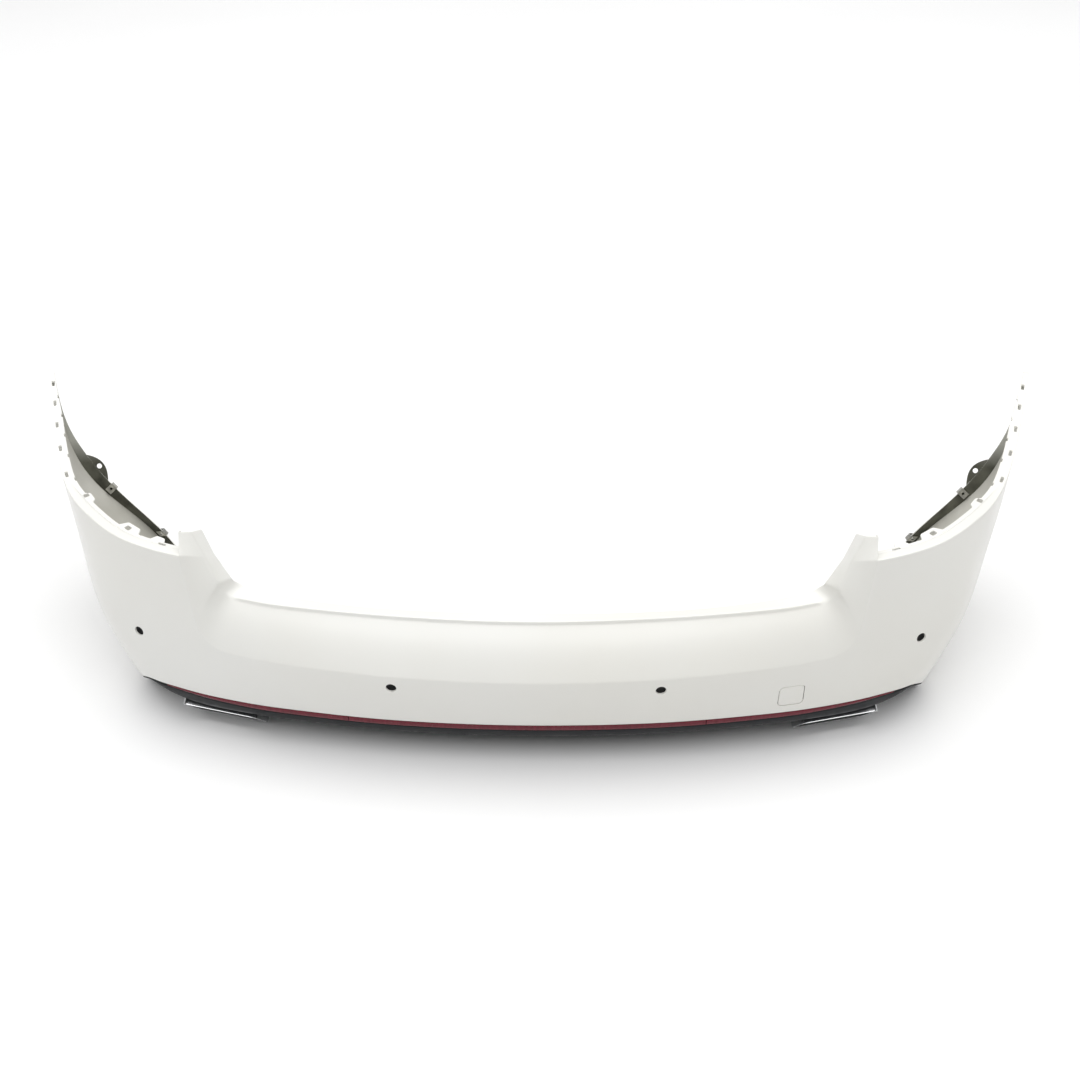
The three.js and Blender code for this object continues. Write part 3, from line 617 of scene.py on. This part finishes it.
def arch_ear():
    """A rounded lug that follows the free edge of the arch flange, and its bore."""
    middle, half, sink, bevel = (ARCH_EAR[key] for key in ("z", "half", "sink", "bevel"))
    front, back = -sink, sink - WALL
    rings = []
    for t in np.linspace(-1, 1, 25):
        side, _, forward, at = on_arch(middle + half * t)
        inner = at - side * ARCH_EAR["root"]
        outer = at + side * (ARCH_EAR["reach"] * (1 - t * t) - sink)
        rings.append(np.array([inner + forward * front, outer + forward * (front - bevel),
                               outer + forward * (back + bevel), inner + forward * back]))
    side, climb, forward, at = on_arch(middle)
    circle = round_outline(ARCH_EAR["hole"], 24)
    bore = stack("bore", circle, flared(8, 0.6), (side, climb, forward), at + side * ARCH_EAR["hole_at"])
    return tube("ear", rings), bore


def outward_at(x, z):
    column = column_at(x, z)
    along, _ = plan_frame(column, z)
    up = unit(surface(column, z + 5) - surface(column, z - 5))
    outward = unit(np.cross(along, up))
    return surface(column, z), along, unit(np.cross(outward, along)), outward


def sensor_cuts():
    cuts = []
    for place in ("inner", "outer"):
        at, along, up, outward = outward_at(*SENSOR[place])
        circle = round_outline(SENSOR["hole"], 48)
        cuts.append(stack("cut", circle, flared(14, 1.1), (along, up, outward), at))
    return cuts


def tow_outline(margin):
    width, height = TOW["width"] + 2 * margin, TOW["height"] + 2 * margin
    return rounded_rect(width, height, TOW["corner"] + margin, 8)


def tow_cut():
    y = float(surface(column_at(TOW["x"], TOW["z"]), TOW["z"])[1])
    axes = ((1, 0, 0), (0, 0, 1), (0, -1, 0))
    return stack("cut", tow_outline(GAP), [(0, -20), (0, 20)], axes, np.array([TOW["x"], y, TOW["z"]]))


def dress(obj, material):
    """One material all over."""
    obj.data.materials.clear()
    obj.data.materials.append(material)
    obj.data.polygons.foreach_set("material_index", [0] * len(obj.data.polygons))
    return obj


def settle(obj, node, body="bumper", angle=35):
    """Smooth shading, and the CAD node that the piece stands for."""
    shade(obj, angle)
    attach(obj, body)
    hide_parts(node)
    return obj


def settle_pair(obj, name, node, angle=35):
    """The right-hand piece and its mirror image."""
    twin = flip_copy(obj)
    for piece, side in ((obj, "right"), (twin, "left")):
        piece.name = f"{name}_{side}"
        settle(piece, f"{node}_{side}", angle=angle)
    return [obj, twin]


def make_skin(paint, inside, arch):
    skin = skin_shell()
    skin.name = "painted_skin"
    for material in (paint, inside, arch):
        skin.data.materials.append(material)
    ear, bore = arch_ear()
    # The lug takes the arch flange's near-black material, which is partly painted shade.
    ear.data.polygons.foreach_set("material_index", [2] * len(ear.data.polygons))
    boolean(skin, both_sides([*ledge_tabs(), ear]), "UNION")
    boolean(skin, [*both_sides([*ledge_cuts(), *sensor_cuts(), bore]), tow_cut()])
    return settle(skin, "bumper_skin", angle=20)


# ---- towing-eye cover ------------------------------------------------------------
def make_tow_cover(paint, inside):
    """A patch of the skin with rolled edges, on two sprung legs."""
    insets = [0, 0.25, 0.8, 1.8, 4, 8, 12, 16]
    falls = [1.3, 0.5, 0.12, 0, 0, 0, 0, 0]
    near = 6  # rings nearer the edge than this follow it, and the rest shrink evenly
    reach = 20  # the inset at which the shrinking would end in a point
    outline = tow_outline(-GAP)
    count = len(outline)
    rings = []
    for inset, fall in zip(insets, falls):
        shrunk = outline * np.array(1 - inset / reach)
        ring = polygon_inset(outline, inset) if inset < near else shrunk
        x, z = TOW["x"] + ring[:, 0], TOW["z"] + ring[:, 1]
        rings.append(surface(column_at(x, z), z) + (0, fall, 0))
    centre = surface(column_at(TOW["x"], TOW["z"]), TOW["z"])
    front = np.concatenate([*rings, centre[None]])
    back = front + (0, WALL, 0)
    back[:count, 1] = rings[0][:, 1] + WALL - falls[0]
    total = len(front)
    faces, rear = [], []
    for r in range(len(rings) - 1):
        for i in range(count):
            j = (i + 1) % count
            quad = [r * count + i, r * count + j, (r + 1) * count + j, (r + 1) * count + i]
            faces.append(quad)
            rear.append([v + total for v in reversed(quad)])
    last = (len(rings) - 1) * count
    for i in range(count):
        fan = [last + i, last + (i + 1) % count, total - 1]
        faces.append(fan)
        rear.append([v + total for v in reversed(fan)])
    rim = [[(i + 1) % count, i, i + total, (i + 1) % count + total] for i in range(count)]
    kinds = [0] * len(faces) + [1] * len(rear) + [0] * len(rim)
    cover = mesh_object("tow_cover", np.concatenate([front, back]), faces + rear + rim, kinds)
    for material in (paint, inside):
        cover.data.materials.append(material)
    legs = []
    for side in (-1, 1):
        leg = [(-6, 0), (6, 0), (6, 9), (4.5, 13), (-4.5, 13), (-6, 9)]
        at = centre + (0, 2.2, side * (TOW["height"] / 2 - 7) - 1.2)
        legs.append(stack("leg", leg, [(0.3, 0), (0, 0.4), (0, 2), (0.3, 2.4)],
                          ((1, 0, 0), (0, 1, 0), UP), at))
    boolean(cover, legs, "UNION")
    return settle(cover, "tow_eye_cover", "tow_eye_cover")


# ---- the lower valance -----------------------------------------------------------
STRIP_COLUMN = float(column_at(STRIP["end"], STRIP_EDGE_Z))
STRIP_FADE = (STRIP_COLUMN + 0.15, STRIP_COLUMN + 0.45)


def strip_height(column):
    start, end = STRIP["taper"]
    tapered = np.clip((column - start) / (end - start), 0, 1) ** 2
    return lerp(STRIP["height"], STRIP["end_height"], tapered)


def has_strip(column):
    return 1 - smooth(*STRIP_FADE, column)


def valance_top_z(column):
    gap = GAP * (1 + DIVE_GAP["more"] * smooth(*DIVE_GAP["fade"], column))
    return skin_edge_z(column) - gap - (strip_height(column) + GAP) * has_strip(column)


def valance_ring(column):
    """Section of the valance from the ledge behind the strip down to its foot."""
    top = float(valance_top_z(column))
    strip = float(has_strip(column))
    recess = VALANCE["recess"] * (1 - float(smooth(*VALANCE["fade"], column)))
    lip = min(float(through(LIP["at"], LIP["z"], column)), top * 0.97)
    knots = np.array([
        [STRIP["depth"] + 2 + 6 * (1 - strip), top + strip * (float(strip_height(column)) - 1)],
        [STRIP["depth"] + 2, top], [0, top], [-1 * strip, lip], [recess * 0.3, top * 0.51],
        [recess * 0.74, top * 0.17], [recess, 0], [recess + VALANCE["foot"], 0],
    ])
    rows = [0, 0.7, 1, 1.25, 1.75, 2, 2.2, 3, 3.5, 4, 4.5, 5, 5.6, 5.85, 6, 6.12, 6.9, 7]
    at = np.stack([np.interp(rows, range(8), knots[:, k]) for k in (0, 1)], 1)
    _, inward = plan_frame(np.full(len(rows), column), at[:, 1])
    return surface(column, at[:, 1]) + inward * at[:, :1]


def valance_columns():
    return [c for c in LOWER if valance_top_z(c) > VALANCE["end_z"]]


def fin(x):
    """A flat rib down the valance, rooted in its wall."""
    wall = valance_ring(float(column_at(x, STRIP_EDGE_Z)))[9:15, 1:]
    rooted = wall + (WALL * 0.6, 0.2)
    front = (wall[0][0] + 4, wall[0][1] - 8)
    foot = (wall[-1][0] - 26, 0.2)
    outline = [front, foot, *rooted[::-1]]
    axes = ((0, 1, 0), UP, (1, 0, 0))
    return stack("fin", outline, [(0.8, 0), (0, 1), (0, 5), (0.8, 6)], axes, np.array([x - 3, 0, 0]))


def make_valance(black):
    grid = np.stack([valance_ring(c) for c in valance_columns()])
    valance = shell("valance", [grid, mirrored(grid)], WALL)
    subdivide(valance)
    boolean(valance, both_sides([fin(x) for x in FINS]), "UNION")
    boolean(valance, both_sides([trim_stack("cut", [(-GAP, -140), (-GAP, 60)])]))
    return settle(dress(valance, black), "lower_valance")


# ---- reflector strip -------------------------------------------------------------
def strip_ring(column):
    """Section of the strip: a crowned face with soft corners."""
    high = STRIP_EDGE_Z - GAP
    low = high - float(strip_height(column)) + 0.2
    depth, middle = STRIP["depth"], (low + high) / 2
    edge = (high - low) * 0.11
    profile = [(depth, low + 0.4), (1.6, low), (0.7, low + edge * 0.3), (0.3, low + edge), (0, middle),
               (0.3, high - edge), (0.7, high - edge * 0.3), (1.6, high), (depth, high - 0.4)]
    _, inward = plan_frame(np.array(float(column)), high)
    base = surface(column, STRIP_EDGE_Z)
    return np.array([base * (1, 1, 0) + inward * offset + (0, 0, z) for offset, z in profile])


def stud_frame(x):
    column = column_at(x, STRIP_EDGE_Z)
    z = STRIP_EDGE_Z - GAP - strip_height(column) / 2
    along, inward = plan_frame(column, STRIP_EDGE_Z)
    at = surface(column, STRIP_EDGE_Z) * (1, 1, 0) + (0, 0, z)
    return (along, np.cross(inward, along), inward), at


def stud(x):
    axes, at = stud_frame(x)
    start = STRIP["depth"] - 1
    length = STUD["length"] + 1
    circle = round_outline(STUD["radius"], 16)
    return stack("stud", circle, [(0, 0), (0, length - 0.6), (0.5, length)], axes,
                 at + axes[2] * start)


def push_nut(x):
    """A star-lock washer: a flat ring with bent teeth that bite on the stud."""
    axes, at = stud_frame(x)
    at = at + axes[2] * (STRIP["depth"] + 2 + WALL + GAP)
    count = 32
    tooth = np.where(np.arange(count) % 4 < 2, STUD["radius"] + 0.3, STUD["radius"] + 1.0)
    circle = unit_circle(count)
    rim, star = circle * STUD["nut"], circle * tooth[:, None]
    bend, half = circle * (STUD["nut"] * 0.75), 0.4
    layers = [(rim, 0), (rim, half), (bend, half), (star, STUD["nut_depth"]),
              (star, STUD["nut_depth"] - half), (bend, 0)]
    rings = [at + p[:, :1] * axes[0] + p[:, 1:] * axes[1] + h * axes[2] for p, h in layers]
    return tube("push_nut", rings, closed=True)


def make_strips(red, steel):
    split = float(column_at(STRIP["split"], STRIP_EDGE_Z))
    half = [c for c in LOWER if 0.02 < c < split - 0.02]
    right = [strip_ring(c) for c in [*half, float(column_at(STRIP["split"] - GAP, STRIP_EDGE_Z))]]
    left = [ring * (-1, 1, 1) for ring in right[::-1]]
    centre = tube("red_strip_centre", [*left, strip_ring(0.0), *right])
    boolean(centre, both_sides([stud(x) for x in REFLECTOR_STUDS[:2]]), "UNION")
    start = float(column_at(STRIP["split"] + GAP, STRIP_EDGE_Z))
    outer = [c for c in LOWER if start + 0.02 < c < STRIP_COLUMN - 0.02]
    side = tube("red_strip", [strip_ring(c) for c in [start, *outer, STRIP_COLUMN]])
    boolean(side, [stud(x) for x in REFLECTOR_STUDS[2:]], "UNION")
    for obj in (centre, side):
        dress(obj, red)
    settle(centre, "reflector_centre")
    settle_pair(side, "red_strip", "reflector")
    for i, x in enumerate(REFLECTOR_STUDS):
        nut = dress(push_nut(x), steel)
        settle_pair(nut, f"star_nut_{i + 1}", f"push_nut_{i + 1}", 25)


# ---- exhaust trims ---------------------------------------------------------------
def trim_outline():
    """Rounded box; both its ends lean away from the centre line towards its top."""
    width = TRIM["outer"][0] - TRIM["inner"][0]
    height = TRIM["high"] - TRIM["low"]
    w, h, lean, radius = width / 2, height / 2, TRIM["lean"], TRIM["corner"]
    points_per_corner = 7
    corners = np.array([(-w, -h), (w - lean, -h), (w, h), (-w + lean, h)], float)
    outline = []
    for i, corner in enumerate(corners):
        start = corner + unit(corners[i - 1] - corner) * radius
        end = corner + unit(corners[(i + 1) % 4] - corner) * radius
        for t in np.linspace(0, 1, points_per_corner):
            outline.append((1 - t) ** 2 * start + 2 * t * (1 - t) * corner + t * t * end)
    return np.array(outline)


def trim_stack(name, profile, closed=False):
    (x0, y0), (x1, y1) = TRIM["inner"], TRIM["outer"]
    height = TRIM["high"] - TRIM["low"]
    across = (1, (y1 - y0) / (x1 - x0), 0)
    rise = (0, -TRIM["rake"], 1)
    at = np.array([(x0 + x1) / 2, (y0 + y1) / 2 + TRIM["rake"] * height / 2,
                   (TRIM["low"] + TRIM["high"]) / 2])
    return stack(name, trim_outline(), profile, (across, rise, (0, -1, 0)), at, closed)


def make_trims(chrome, duct):
    front, back, wall = 1, 1 - TRIM["depth"], TRIM["wall"]
    lip = [(0, back), (0, front - 1.6), (0.4, front - 0.6), (1.1, front), (2, front - 0.2),
           (2.7, front - 1.2), (wall, front - 3), (wall, back)]
    rim = trim_stack("rim", lip, closed=True)
    settle_pair(dress(rim, chrome), "exhaust_rim", "exhaust_trim", 50)
    inner, back = wall + GAP, -TRIM["depth"] - 6
    section = [(inner, back), (inner, 0), (inner + 1, 0.4), (inner + 2.5, 0), (inner + 2.5, back)]
    liner = trim_stack("duct", section, closed=True)
    settle_pair(dress(liner, duct), "exhaust_duct", "exhaust_liner", 50)


# ---- small pieces ----------------------------------------------------------------
def lathe(name, profile, axes, at, segments):
    """A closed turned solid from (radius, height) points that end off the axis."""
    circle = unit_circle(segments)
    rings = [at + circle[:, :1] * r * np.asarray(axes[0]) + circle[:, 1:] * r * np.asarray(axes[1])
             + h * np.asarray(axes[2]) for r, h in profile]
    return tube(name, rings, closed=True)


def sensor_holder(place):
    """A welded ring with a short collar, two latches and a rounded edge."""
    at, along, up, outward = outward_at(*SENSOR[place])
    bore, neck, ring = SENSOR["hole"] + 1, SENSOR["hole"] + 3.5, SENSOR["ring"]
    seat = WALL + 2
    profile = [(bore, -seat), (ring - 0.8, -seat), (ring, -seat - 0.8), (ring, -seat - 2.2),
               (ring - 0.8, -seat - 3), (neck + 0.6, -seat - 3), (neck, -seat - 3.6),
               (neck, -seat - 12.4), (neck - 0.6, -seat - 13), (bore, -seat - 13)]
    holder = lathe("holder", profile, (along, up, outward), at, 40)
    latches = []
    for side in (-1, 1):
        outline = [(-2.6, neck - 1.2), (2.6, neck - 1.2), (2.6, neck + 1.2), (-2.6, neck + 1.2)]
        profile = [(0.3, -seat - 12), (0, -seat - 11), (0, -seat - 2), (0.2, -seat - 1.5)]
        latches.append(stack("latch", outline, profile, (up * side, along * -side, outward), at))
    boolean(holder, latches, "UNION")
    return holder


def spring_nut(z):
    """A folded spring-steel nut that grips the edge of the arch flange."""
    side, climb, forward, at = on_arch(z)
    clear, hole, wide = 1.6, 2.6, 4.2
    front, back = clear + 1, -WALL - clear
    outline = [(front, -11), (front, 3), *arc((front - 1, 3), 1, 0.2, math.pi / 2, 4),
               *arc((back, 3), 1, math.pi / 2, math.pi, 4), (back - 1, -14), (back, -14), (back, 3),
               (clear, 3), (clear, -11)]
    clip = stack("clip", outline, [(0.15, 0), (0, 0.3), (0, 12.7), (0.15, 13)],
                 (forward, side, climb), at - climb * 6.5)
    centre = at - side * 5
    section = [(hole, back - 2.4), (wide - 0.6, back - 2.4), (wide, back - 0.5), (wide, back - 0.2),
               (hole, back - 0.2)]
    collar = lathe("collar", section, (side, climb, forward), centre, 20)
    bore = round_outline(hole, 20)
    boolean(clip, [collar], "UNION")
    boolean(clip, [stack("bore", bore, [(0, -15), (0, 15)], (side, climb, forward), centre)])
    return clip


def screw_frame(column):
    """Frame of a valance screw: along the hem, in from its edge, and up through it."""
    def edge(c):
        return surface(c, skin_edge_z(c))
    along = unit(edge(column + 0.05) - edge(column - 0.05))
    _, inward = plan_frame(np.array(float(column)), float(skin_edge_z(column)))
    up = unit(np.cross(along, inward))
    return (along, np.cross(up, along), up), edge(column) + inward * SCREW["offset"]


def screw(column):
    """A pan-head screw with a cross recess and a threaded shank."""
    axes, at = screw_frame(column)
    seat, head, tall, shank = WALL + GAP, SCREW["head"], SCREW["head_height"], SCREW["radius"]
    body = [(0.01, seat + tall), (head * 0.62, seat + tall), (head * 0.9, seat + tall * 0.7),
            (head, seat + tall * 0.3), (head, seat), (shank, seat)]
    pitch, low = 1.3, seat - 12
    for k in range(int((seat - low) / pitch)):
        body += [(shank, seat - k * pitch - 0.3), (shank - 0.45, seat - (k + 0.5) * pitch)]
    body += [(shank - 0.5, low + 0.3), (0.01, low)]
    piece = lathe("screw", body, axes, at, 24)
    slots = []
    for turn in (0, math.pi / 2):
        c, s = math.cos(turn), math.sin(turn)
        x, y = axes[0] * c + axes[1] * s, axes[1] * c - axes[0] * s
        outline = [(-2.4, -0.5), (2.4, -0.5), (2.4, 0.5), (-2.4, 0.5)]
        profile = [(0.2, seat + 0.8), (0, seat + tall + 2)]
        slots.append(stack("slot", outline, profile, (x, y, axes[2]), at))
    for slot in slots:
        boolean(piece, [slot])
    return piece


def make_small_pieces(dark, steel):
    for place in ("inner", "outer"):
        # The holders are near-black: partly their plastic and partly painted shade that makes the sensor
        # holes look dark.
        holder = dress(sensor_holder(place), dark)
        settle_pair(holder, f"sensor_ring_{place}", f"sensor_holder_{place}")
    for place, row in NUT_ROWS.items():
        nut = dress(spring_nut(float(top_edge_z(LAST)) * row / 8), steel)
        settle_pair(nut, f"edge_nut_{place}", f"spring_nut_{place}", 25)
    for i, column in enumerate(SCREW["columns"]):
        piece = dress(screw(column), steel)
        settle_pair(piece, f"hem_screw_{i + 1}", f"valance_screw_{i + 1}", 25)


# ---- materials -------------------------------------------------------------------
class Surface:
    """A principled material whose sockets are fed by noise in object coordinates."""

    def __init__(self, name):
        self.material = bpy.data.materials.new(name)
        self.material.use_nodes = True
        self.nodes = self.material.node_tree.nodes
        self.links = self.material.node_tree.links
        self.shader = self.nodes["Principled BSDF"]
        self.place = self.nodes.new("ShaderNodeTexCoord").outputs["Object"]

    def noise(self, scale, detail=3.0, stretch=(1, 1, 1)):
        mapping = self.nodes.new("ShaderNodeMapping")
        mapping.inputs["Scale"].default_value = stretch
        texture = self.nodes.new("ShaderNodeTexNoise")
        texture.inputs["Scale"].default_value = scale
        texture.inputs["Detail"].default_value = detail
        self.links.new(self.place, mapping.inputs["Vector"])
        self.links.new(mapping.outputs["Vector"], texture.inputs["Vector"])
        return texture.outputs["Fac"]

    def spread(self, value, low, high, start=0.3, stop=0.7):
        """A value between start and stop, stretched to run from low to high."""
        node = self.nodes.new("ShaderNodeMapRange")
        for name, number in (("From Min", start), ("From Max", stop), ("To Min", low), ("To Max", high)):
            node.inputs[name].default_value = number
        self.links.new(value, node.inputs["Value"])
        return node.outputs["Result"]

    def height(self, low, high):
        """0 below one height and 1 above another, in metres."""
        split = self.nodes.new("ShaderNodeSeparateXYZ")
        self.links.new(self.place, split.inputs["Vector"])
        return self.spread(split.outputs["Z"], 0.0, 1.0, low, high)

    def blend(self, value, first, second):
        node = self.nodes.new("ShaderNodeMix")
        node.data_type = "RGBA"
        for socket, colour in ((node.inputs[6], first), (node.inputs[7], second)):
            if isinstance(colour, tuple):
                socket.default_value = (*colour, 1)
            else:
                self.links.new(colour, socket)
        self.links.new(value, node.inputs[0])
        return node.outputs[2]

    def feed(self, socket, value):
        self.links.new(value, self.shader.inputs[socket])

    def hold(self, socket, number):
        self.shader.inputs[socket].default_value = number

    def bump(self, value, strength, distance):
        node = self.nodes.new("ShaderNodeBump")
        node.inputs["Strength"].default_value = strength
        node.inputs["Distance"].default_value = distance
        self.links.new(value, node.inputs["Height"])
        self.feed("Normal", node.outputs["Normal"])


def mottled(name, first, second, scale, rough, metal=0.0, grain=None, stretch=(1, 1, 1)):
    """Two near colours and two roughnesses mixed by noise, with a fine grain in relief."""
    made = Surface(name)
    made.colour = made.blend(made.spread(made.noise(scale, 4.0, stretch), 0.0, 1.0), first, second)
    made.feed("Base Color", made.colour)
    made.feed("Roughness", made.spread(made.noise(scale * 2.7), *rough))
    made.hold("Metallic", metal)
    if grain:
        made.bump(made.noise(grain[0], 2.0), grain[1], grain[2])
    return made


def paint_material():
    """White coat under clear lacquer: faint cream clouds, uneven gloss and orange peel."""
    made = mottled("paint", (0.83, 0.83, 0.80), (0.80, 0.79, 0.74), 2.2, (0.28, 0.4),
                   grain=(700.0, 0.05, 0.0004))
    made.hold("Coat Weight", 0.3)
    made.hold("Coat Roughness", 0.12)
    return made.material


def inside_material():
    """Bare moulded plastic with a mist of paint over it."""
    return mottled("inside", (0.44, 0.43, 0.38), (0.60, 0.59, 0.54), 9.0, (0.5, 0.7),
                   grain=(420.0, 0.15, 0.0006)).material


def arch_dark_and_shade_material():
    """The arch flange: pale near its top; near-black lower down, partly its own dark plastic and partly
    painted shade.
    """
    made = mottled("arch_edge_dark_and_shade", (0.03, 0.03, 0.02), (0.13, 0.13, 0.10), 26.0, (0.5, 0.8),
                   grain=(300.0, 0.25, 0.0008))
    made.feed("Base Color", made.blend(made.height(0.225, 0.262), made.colour, (0.42, 0.42, 0.38)))
    return made.material


def black_material():
    made = mottled("satin_black", (0.012, 0.013, 0.015), (0.020, 0.021, 0.023), 14.0, (0.42, 0.56),
                   grain=(900.0, 0.3, 0.0005))
    made.hold("Specular IOR Level", 0.22)
    return made.material


def red_material():
    """Dark red lens: fine upright streaks under a light gloss."""
    made = mottled("red_lens", (0.17, 0.016, 0.030), (0.11, 0.009, 0.018), 60.0, (0.16, 0.28),
                   grain=(240.0, 0.12, 0.0006), stretch=(6, 6, 0.3))
    made.hold("Coat Weight", 0.1)
    made.hold("Coat Roughness", 0.08)
    made.hold("Specular IOR Level", 0.2)
    return made.material


def chrome_material():
    return mottled("chrome", (0.74, 0.75, 0.76), (0.60, 0.61, 0.62), 30.0, (0.07, 0.2), 1.0).material


def steel_material():
    return mottled("zinc_steel", (0.62, 0.61, 0.56), (0.42, 0.42, 0.40), 160.0, (0.28, 0.5), 1.0,
                   grain=(900.0, 0.2, 0.0003)).material


# Near-black plastic of the exhaust ducts and the sensor holders; on the holders it is partly painted
# shade in the sensor holes.
def duct_and_hole_shade_material():
    return mottled("dark_plastic_and_hole_shade", (0.010, 0.010, 0.011), (0.020, 0.020, 0.020), 40.0, (0.55, 0.75),
                   grain=(600.0, 0.3, 0.0005)).material


def floor_material():
    return mottled("pale_floor", (0.93, 0.93, 0.93), (0.90, 0.90, 0.90), 0.6, (0.85, 0.95)).material


# ---- stage -----------------------------------------------------------------------
def add_camera():
    camera = bpy.data.objects.new("camera", bpy.data.cameras.new("camera"))
    camera.data.sensor_width = 36
    camera.data.lens = 43.33
    camera.data.shift_y = 0.0046
    eye = Vector((71.2, -1351.7 + FRAME_Y, 1699.0)) * MM
    towards = Vector((-0.0248, 0.7427, -0.6691)).to_track_quat("-Z", "Y")
    roll = Matrix.Rotation(-0.01555, 4, "Z")
    camera.matrix_world = Matrix.Translation(eye) @ towards.to_matrix().to_4x4() @ roll
    bpy.context.scene.collection.objects.link(camera)
    bpy.context.scene.camera = camera


def add_area(name, place, target, size, power):
    light = bpy.data.lights.new(name, "AREA")
    light.shape = "RECTANGLE"
    light.size, light.size_y = size
    light.energy = power
    obj = bpy.data.objects.new(name, light)
    aim = (Vector(target) - Vector(place)).to_track_quat("-Z", "Y")
    obj.matrix_world = Matrix.Translation(place) @ aim.to_matrix().to_4x4()
    bpy.context.scene.collection.objects.link(obj)


def add_stage():
    world = bpy.data.worlds.new("studio")
    world.use_nodes = True
    background = world.node_tree.nodes["Background"]
    background.inputs["Color"].default_value = (1, 1, 1, 1)
    background.inputs["Strength"].default_value = 0.2
    bpy.context.scene.world = world
    add_area("top_softbox", (0, 0.4, 5.0), (0, 0.4, 0), (10.0, 9.0), 570)
    add_area("front_left", (-2.2, -2.6, 2.0), (0, 0, 0.2), (1.8, 1.4), 2)
    side = 30000  # half the floor's width; only low views see past it
    corners = [(-side, -side, 0), (side, -side, 0), (side, side, 0), (-side, side, 0)]
    floor = mesh_object("floor", corners, [[0, 1, 2, 3]])
    floor.data.materials.append(floor_material())


bpy.context.scene.view_settings.view_transform = "Standard"
add_camera()
add_stage()
paint = paint_material()
inside = inside_material()
steel = steel_material()
duct = duct_and_hole_shade_material()
make_skin(paint, inside, arch_dark_and_shade_material())
make_tow_cover(paint, inside)
make_valance(black_material())
make_strips(red_material(), steel)
make_trims(chrome_material(), duct)
make_small_pieces(duct, steel)
